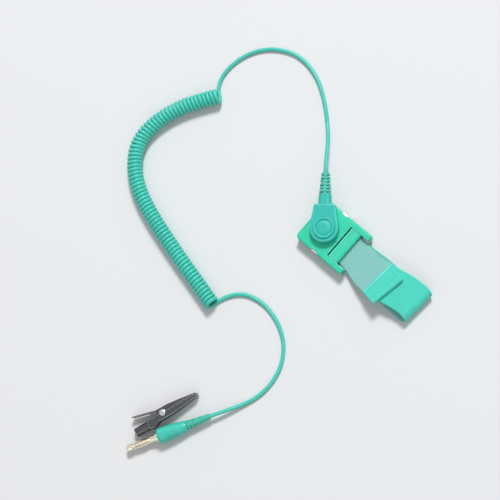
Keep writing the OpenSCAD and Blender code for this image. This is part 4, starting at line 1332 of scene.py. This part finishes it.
@dataclass
class Connector:
    """Press-stud connector: shell, round cap and ribbed relief over the socket and the resistor."""

    head: float = 8.05
    head_low: float = 8.15
    head_top: float = 12.8
    neck: float = 13.5
    neck_width: float = 11.8
    collar: Point = (7.3, 4.45)
    head_round: float = 0.9
    foot_round: float = 0.35
    collar_start: float = 12.0
    collar_end: float = 18.4
    collar_round: float = 0.4
    socket: float = 5.9
    flange: float = 6.8
    flange_depth: float = 0.4
    chamber: float = 1.55
    chamber_end: float = 14.4
    stem: float = 1.9
    stem_start: float = 14.2
    play: float = 0.05
    relief_length: float = 13.1
    relief_core: float = 1.3
    relief_round: float = 0.12
    ribs: int = 7
    rib_heights: Point = (4.25, 3.8)
    rib_widths: Point = (6.8, 5.0)
    cap_radius: float = 6.1
    cap_low: float = 12.0
    cap_top: float = 13.7
    cap_wall: float = 0.2
    dish: float = 4.6
    groove: float = 0.7
    groove_width: float = 0.45
    dome: Triple = (0.32, 0.16, 0.1)
    tab_middle: Triple = (3.5, 0.0, 10.64)
    tab_size: Triple = (7.0, 2.8, 2.72)

    def cap(self) -> Shape:
        """Round cap: a rounded rim, a groove and a gently domed middle."""
        top, inner = self.cap_top, self.dish - self.groove_width
        edge, side, middle = (top - fall for fall in self.dome)
        outline = [(0.0, self.cap_low), (self.cap_radius, self.cap_low), (self.cap_radius, top),
                   (self.dish, top), (self.dish, top - self.groove), (inner, top - self.groove),
                   (inner - 0.4, edge), (self.dish / 2, side), (0.0, middle)]
        return lathe(softened(outline, 0.4, 5))

    def plan(self) -> list[Point]:
        """Outline of the round head and of the neck that runs on from its rim."""
        half = self.neck_width / 2
        reach = math.hypot(self.neck, half)
        touch = math.degrees(math.atan2(half, self.neck) + math.acos(self.head / reach))
        rim = arc((0.0, 0.0), self.head, touch, 360 - touch, 72)
        shoulder = softened([rim[-1], (self.neck, -half), (self.neck, half), rim[0]], 1.4, 8)
        return [*shoulder[1:-1], *rim]

    def along(self, shape: Shape) -> Shape:
        """Lays an upright shape on the cord's axis."""
        return moved(shape, Matrix.Translation((0.0, 0.0, CORD_HEIGHT)) @ LYING)

    def shell(self) -> Shape:
        """Head, neck and collar in one, hollow for the socket, the cap and the resistor."""
        body = prism(self.plan(), self.head_low, self.head_top)
        rolled(body, self.head_top, self.head_round, 6)
        rolled(body, self.head_low, self.foot_round, 3)
        wide, tall = self.collar
        side = (wide - tall) / 2
        oval = [*arc((0.0, side), tall / 2, 0, 180, 20), *arc((0.0, -side), tall / 2, 180, 360, 20)]
        collar = prism(oval, self.collar_start, self.collar_end)
        rolled(collar, self.collar_end, self.collar_round, 4)

        def round_hole(radius: float, low: float, high: float) -> Shape:
            """Cutter of a round hole."""
            return prism(arc((0.0, 0.0), radius + self.play, 0, 356.25, 95), low, high)

        tab_way = bmesh.new()
        place = Matrix.Translation(self.tab_middle) @ Matrix.Diagonal((*self.tab_size, 1.0))
        bmesh.ops.create_cube(tab_way, size=1.0, matrix=place)
        below, above = self.head_low - 1, self.head_top + 1
        holes = [round_hole(self.flange, below, self.head_low + self.flange_depth),
                 round_hole(self.socket, below, self.cap_low + self.cap_wall),
                 round_hole(self.cap_radius, self.cap_low, above), tab_way,
                 self.along(round_hole(self.chamber, self.socket, self.chamber_end)),
                 self.along(round_hole(self.stem, self.stem_start, self.collar_end + 1))]
        made = carved(body, [self.along(collar)], holes)
        return moved(made, turned(CONNECTOR_TURN, CENTRE))

    def relief(self) -> Shape:
        """Ribbed relief, with bridges between its ribs."""
        step = self.relief_length / self.ribs
        sunk, inset = 0.08, 0.12
        gaps = []
        for i in range(self.ribs - 1):
            share = (i + 0.5) / (self.ribs - 1)
            tall, wide = (a + (b - a) * share for a, b in (self.rib_heights, self.rib_widths))
            low, high = (self.collar_end + step * (i + way) for way in (RIB_SHARE, 1))
            gaps.append((low - BRIDGE_HOLD, high + BRIDGE_HOLD, tall / 2 - sunk, wide / 2 - inset))
        place = turned(CONNECTOR_TURN, (0.0, 0.0, CORD_HEIGHT)) @ LYING
        between = moved(joined(bridges(gaps, self.relief_core)), place)
        return joined([rounded_copy("connector_relief", self.relief_round), between])

    def build(self) -> None:
        """Makes the connector's pieces."""
        for name, shape, finish, slot, node in (
                ("connector_moulding", self.shell(), TEAL, Slot.TEAL, "connector_shell"),
                ("cap_moulding", self.cap(), CAP_TEAL, Slot.TEAL, "connector_cap"),
                ("relief_moulding", self.relief(), SOFT_TEAL, Slot.VINYL, "connector_relief")):
            add_piece(name, shape, finish, Body.CORD_SET, [node])
        for node, finish in (("snap_socket", SNAP_NICKEL), ("contact_tab", BRASS),
                             ("resistor_crimp", BRASS), ("connector_wire", CORD_TEAL),
                             ("limit_resistor", RESISTOR)):
            dress(node, finish)


# ---- Plug ----


@dataclass
class BananaPlug:
    """Plug with a ribbed sleeve, a moulded handle, a solid pin and a lantern spring."""

    sleeve: float = 14.0
    ribs: int = 7
    handle: float = 17.5
    butt: float = 4.5
    butt_edge: float = 1.8
    butt_land: float = 3.5
    neck: float = 2.7
    mouth: float = 1.7
    groove: float = 0.35
    groove_gain: float = 0.4
    bore: float = 1.1
    root: float = 1.9
    root_depth: float = 2.0
    shank: float = 1.5
    shank_depth: float = 2.5
    shoulder: float = 3.0
    shoulder_length: float = 1.0
    play: float = 0.02
    pin: float = 2.0
    pin_length: float = 19.0
    core: float = 1.2
    land: float = 3.0
    nose: float = 3.5
    leaves: int = 6
    sheet: float = 0.18
    ring: float = 1.1

    def relief(self) -> Shape:
        """Ribbed sleeve, widening towards the handle."""
        outline = [(self.bore, 0.0)]
        gaps = []
        step, sunk = self.sleeve / self.ribs, 0.04
        for i in range(self.ribs):
            share = i / (self.ribs - 1)
            outer = self.mouth + (self.neck - self.mouth) * share
            inner = outer - self.groove - self.groove_gain * share
            low, high, end = step * i, step * (i + RIB_SHARE), step * (i + 1)
            outline += [(outer, low), (outer, high), (inner, high + 0.1), (inner, end)]
            gaps.append((high - BRIDGE_HOLD, end + BRIDGE_HOLD, outer - sunk, outer - sunk))
        inside = self.sleeve + self.root_depth
        outline += [(self.root, self.sleeve), (self.root, inside), (self.bore, inside)]
        ribbed = lathe(softened([*outline, outline[0]], 0.14, 3), 64)
        return joined([ribbed, *bridges(gaps, self.bore + 0.1)])

    def body(self) -> Shape:
        """Handle, slim at the sleeve and fullest at its butt."""
        low, high = self.sleeve, self.sleeve + self.handle
        slim = self.neck + 0.2
        shares = [i / 24 for i in range(1, 25)]
        side = [(slim + (self.butt - slim) * (1 - (1 - share) ** 1.6),
                 low + (self.handle - self.butt_land) * share) for share in shares]
        edge, socket, hole = self.butt_edge, self.root + self.play, self.shank + 0.06
        rim = arc((self.butt - edge, high - edge), edge, 0, 90, 12)
        outline = [(socket, low), (self.neck - 0.1, low), (self.neck + 0.1, low + 0.1),
                   (slim, low + 0.35), *side, *rim, (hole, high), (hole, high - 3.0), (socket, low)]
        return lathe(outline)

    def pin_core(self) -> Shape:
        """Turned pin: shank, shoulder, full land, thin rod and nose."""
        butt = self.sleeve + self.handle
        root, tip = butt + self.shoulder_length, butt + self.pin_length
        outline = [(0.0, butt - self.shank_depth), (self.shank, butt - self.shank_depth),
                   (self.shank, butt), (self.shoulder, butt), (self.shoulder, root),
                   (self.pin, root), (self.pin, root + self.land), (self.core, root + self.land),
                   (self.core, tip - self.nose), (self.pin - 0.05, tip - self.nose)]
        nose = arc((self.pin - 1.05, tip - 1.0), 1.0, 0, 90, 8)
        return lathe([*softened([*outline, nose[0]], 0.15, 3), *nose[1:], (0.0, tip)])

    def lantern(self) -> Shape:
        """Lantern spring: leaves that bow out between two rings."""
        butt, gap = self.sleeve + self.handle, 0.1
        start = butt + self.shoulder_length + self.land + gap
        end = butt + self.pin_length - self.nose - gap
        leaf = bmesh.new()
        bmesh.ops.create_grid(leaf, x_segments=24, y_segments=4, size=0.5)
        inner, outer = self.core + 0.16, self.pin - 0.03
        breadth, end_breadth = 0.8, 0.94
        for vert in leaf.verts:
            share = vert.co.x + 0.5
            bow = inner + (outer - inner) * math.sin(math.pi * share)
            filled = end_breadth if share in (0.0, 1.0) else breadth
            angle = vert.co.y * math.tau / self.leaves * filled
            vert.co = (bow * math.cos(angle), bow * math.sin(angle), start + (end - start) * share)
        bmesh.ops.recalc_face_normals(leaf, faces=leaf.faces)
        if sum(f.normal.x for f in leaf.faces) < 0:
            bmesh.ops.reverse_faces(leaf, faces=leaf.faces)
        bmesh.ops.solidify(leaf, geom=leaf.faces[:], thickness=self.sheet)
        whole, others = leaf.verts[:] + leaf.edges[:] + leaf.faces[:], self.leaves - 1
        bmesh.ops.spin(leaf, geom=whole, axis=UP, cent=CENTRE, use_duplicate=True, steps=others,
                       angle=math.tau * others / self.leaves)
        rings = []
        outside, inside = inner + self.play, inner - self.sheet
        for low, high in ((start, start + self.ring), (end - self.ring, end)):
            band = [(outside, low), (outside, high), (inside, high), (inside, low)]
            rings.append(lathe([*softened(band, 0.05, 2), band[0]], 48))
        return joined([leaf, *rings])

    def build(self) -> list[bpy.types.Object]:
        """Makes the plug's pieces.

        Returns:
            The pieces that end the cord.
        """
        place = turned(PLUG_TURN, PLUG_AT) @ LYING
        made = [add_piece(name, shape, finish, Body.CORD_SET, [node], place)
                for name, shape, finish, slot, node in (
                    ("sleeve_moulding", self.relief(), SOFT_TEAL, Slot.VINYL, "plug_relief"),
                    ("handle_moulding", self.body(), HANDLE_TEAL, Slot.TEAL, "plug_body"),
                    ("pin_turning", self.pin_core(), PLUG_NICKEL, Slot.PLUG, "plug_core"),
                    ("lantern_leaves", self.lantern(), LEAF_NICKEL, Slot.PLUG, "plug_spring"))]
        return [*made, dress("plug_wire", CORD_TEAL), dress("plug_crimp", BRASS)]


# ---- Clip ----


@dataclass
class CrocodileClip:
    """Pressed clip with toothed jaws, a rivet and a coil spring."""

    pivot: float = 1.1
    height: float = 6.6
    head: float = 0.35
    wire: float = 0.6
    coils: int = 5
    leg: float = 7.2
    leg_turns: Point = (10.0, 10.5)
    coil_room: float = 0.2
    coil_pitch: float = 0.9
    edge: float = 0.09
    place: ClassVar[Matrix] = turned(CLIP_TURN, CLIP_AT)  # pivot at the origin, jaws along X

    def rivet(self) -> Shape:
        """Rivet with two low domed heads."""
        top = self.height + 2 * self.head
        wide = self.pivot + 0.6
        low, high = self.head, top - self.head
        outline = [(0.0, 0.0), (wide - 0.5, 0.05), (wide, low - 0.1), (wide, low),
                   (self.pivot, low), (self.pivot, high), (wide, high), (wide, high + 0.1),
                   (wide - 0.5, top - 0.05), (0.0, top)]
        return lathe(outline, 48)

    def spring(self) -> bpy.types.Object:
        """Torsion spring round the rivet, with a leg on each arm, in one wire."""
        radius = self.pivot + self.coil_room + self.wire / 2
        rise = (self.coils - 1) * self.coil_pitch * self.wire
        low = self.head + self.height / 2 - rise / 2
        steps = self.coils * 20
        turns = []
        for i in range(steps + 1):
            turn = (self.coils - 0.5) * math.tau * i / steps
            turns.append(Vector((radius * math.sin(turn), -radius * math.cos(turn),
                                 low + rise * i / steps)))
        base, jaw = (math.radians(a) for a in self.leg_turns)
        first = turns[0] + self.leg * Vector((-math.cos(base), -math.sin(base), 0.0))
        last = turns[-1] + self.leg * Vector((-math.cos(jaw), math.sin(jaw), 0.0))
        points = [self.place @ p for p in (first, *turns, last)]
        return meshed(wire("spring_wire", points, self.wire / 2, SPRING_STEEL))

    def wind(self, spring: bpy.types.Object) -> None:
        """Bakes the spring's place into its mesh, hides the CAD spring and reports it."""
        start, end = (self.place @ Vector((0.0, way * self.pivot, 0.0)) * MM for way in (-1, 1))
        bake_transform(spring)
        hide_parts("clip_spring")
        LOG.info("%s between clip and jaw, for clip_spring", spring.name)

    def build(self) -> None:
        """Makes the clip's pieces."""
        for name, node, body in (("base_pressing", "clip_base", Body.CLIP),
                                 ("jaw_pressing", "clip_jaw", Body.JAW)):
            pressing = rounded_copy(node, self.edge)
            add_piece(name, pressing, CLIP_STEEL_PAINTED_REFLECTIONS, body, [node])
        add_piece("clip_rivet", self.rivet(), PIN_STEEL, Body.CLIP, ["clip_pivot"],
                  self.place)
        self.wind(self.spring())


def main() -> None:
    """Builds the studio and every sub-assembly."""
    logging.basicConfig(level=logging.INFO, format="%(name)s: %(message)s")
    Studio().build()
    cord = GroundCord()
    line = cord.build()
    ElasticBand().build()
    Buckle().build()
    Connector().build()
    cord.declare(BananaPlug().build())
    CrocodileClip().build()


if __name__ == "__main__":
    main()
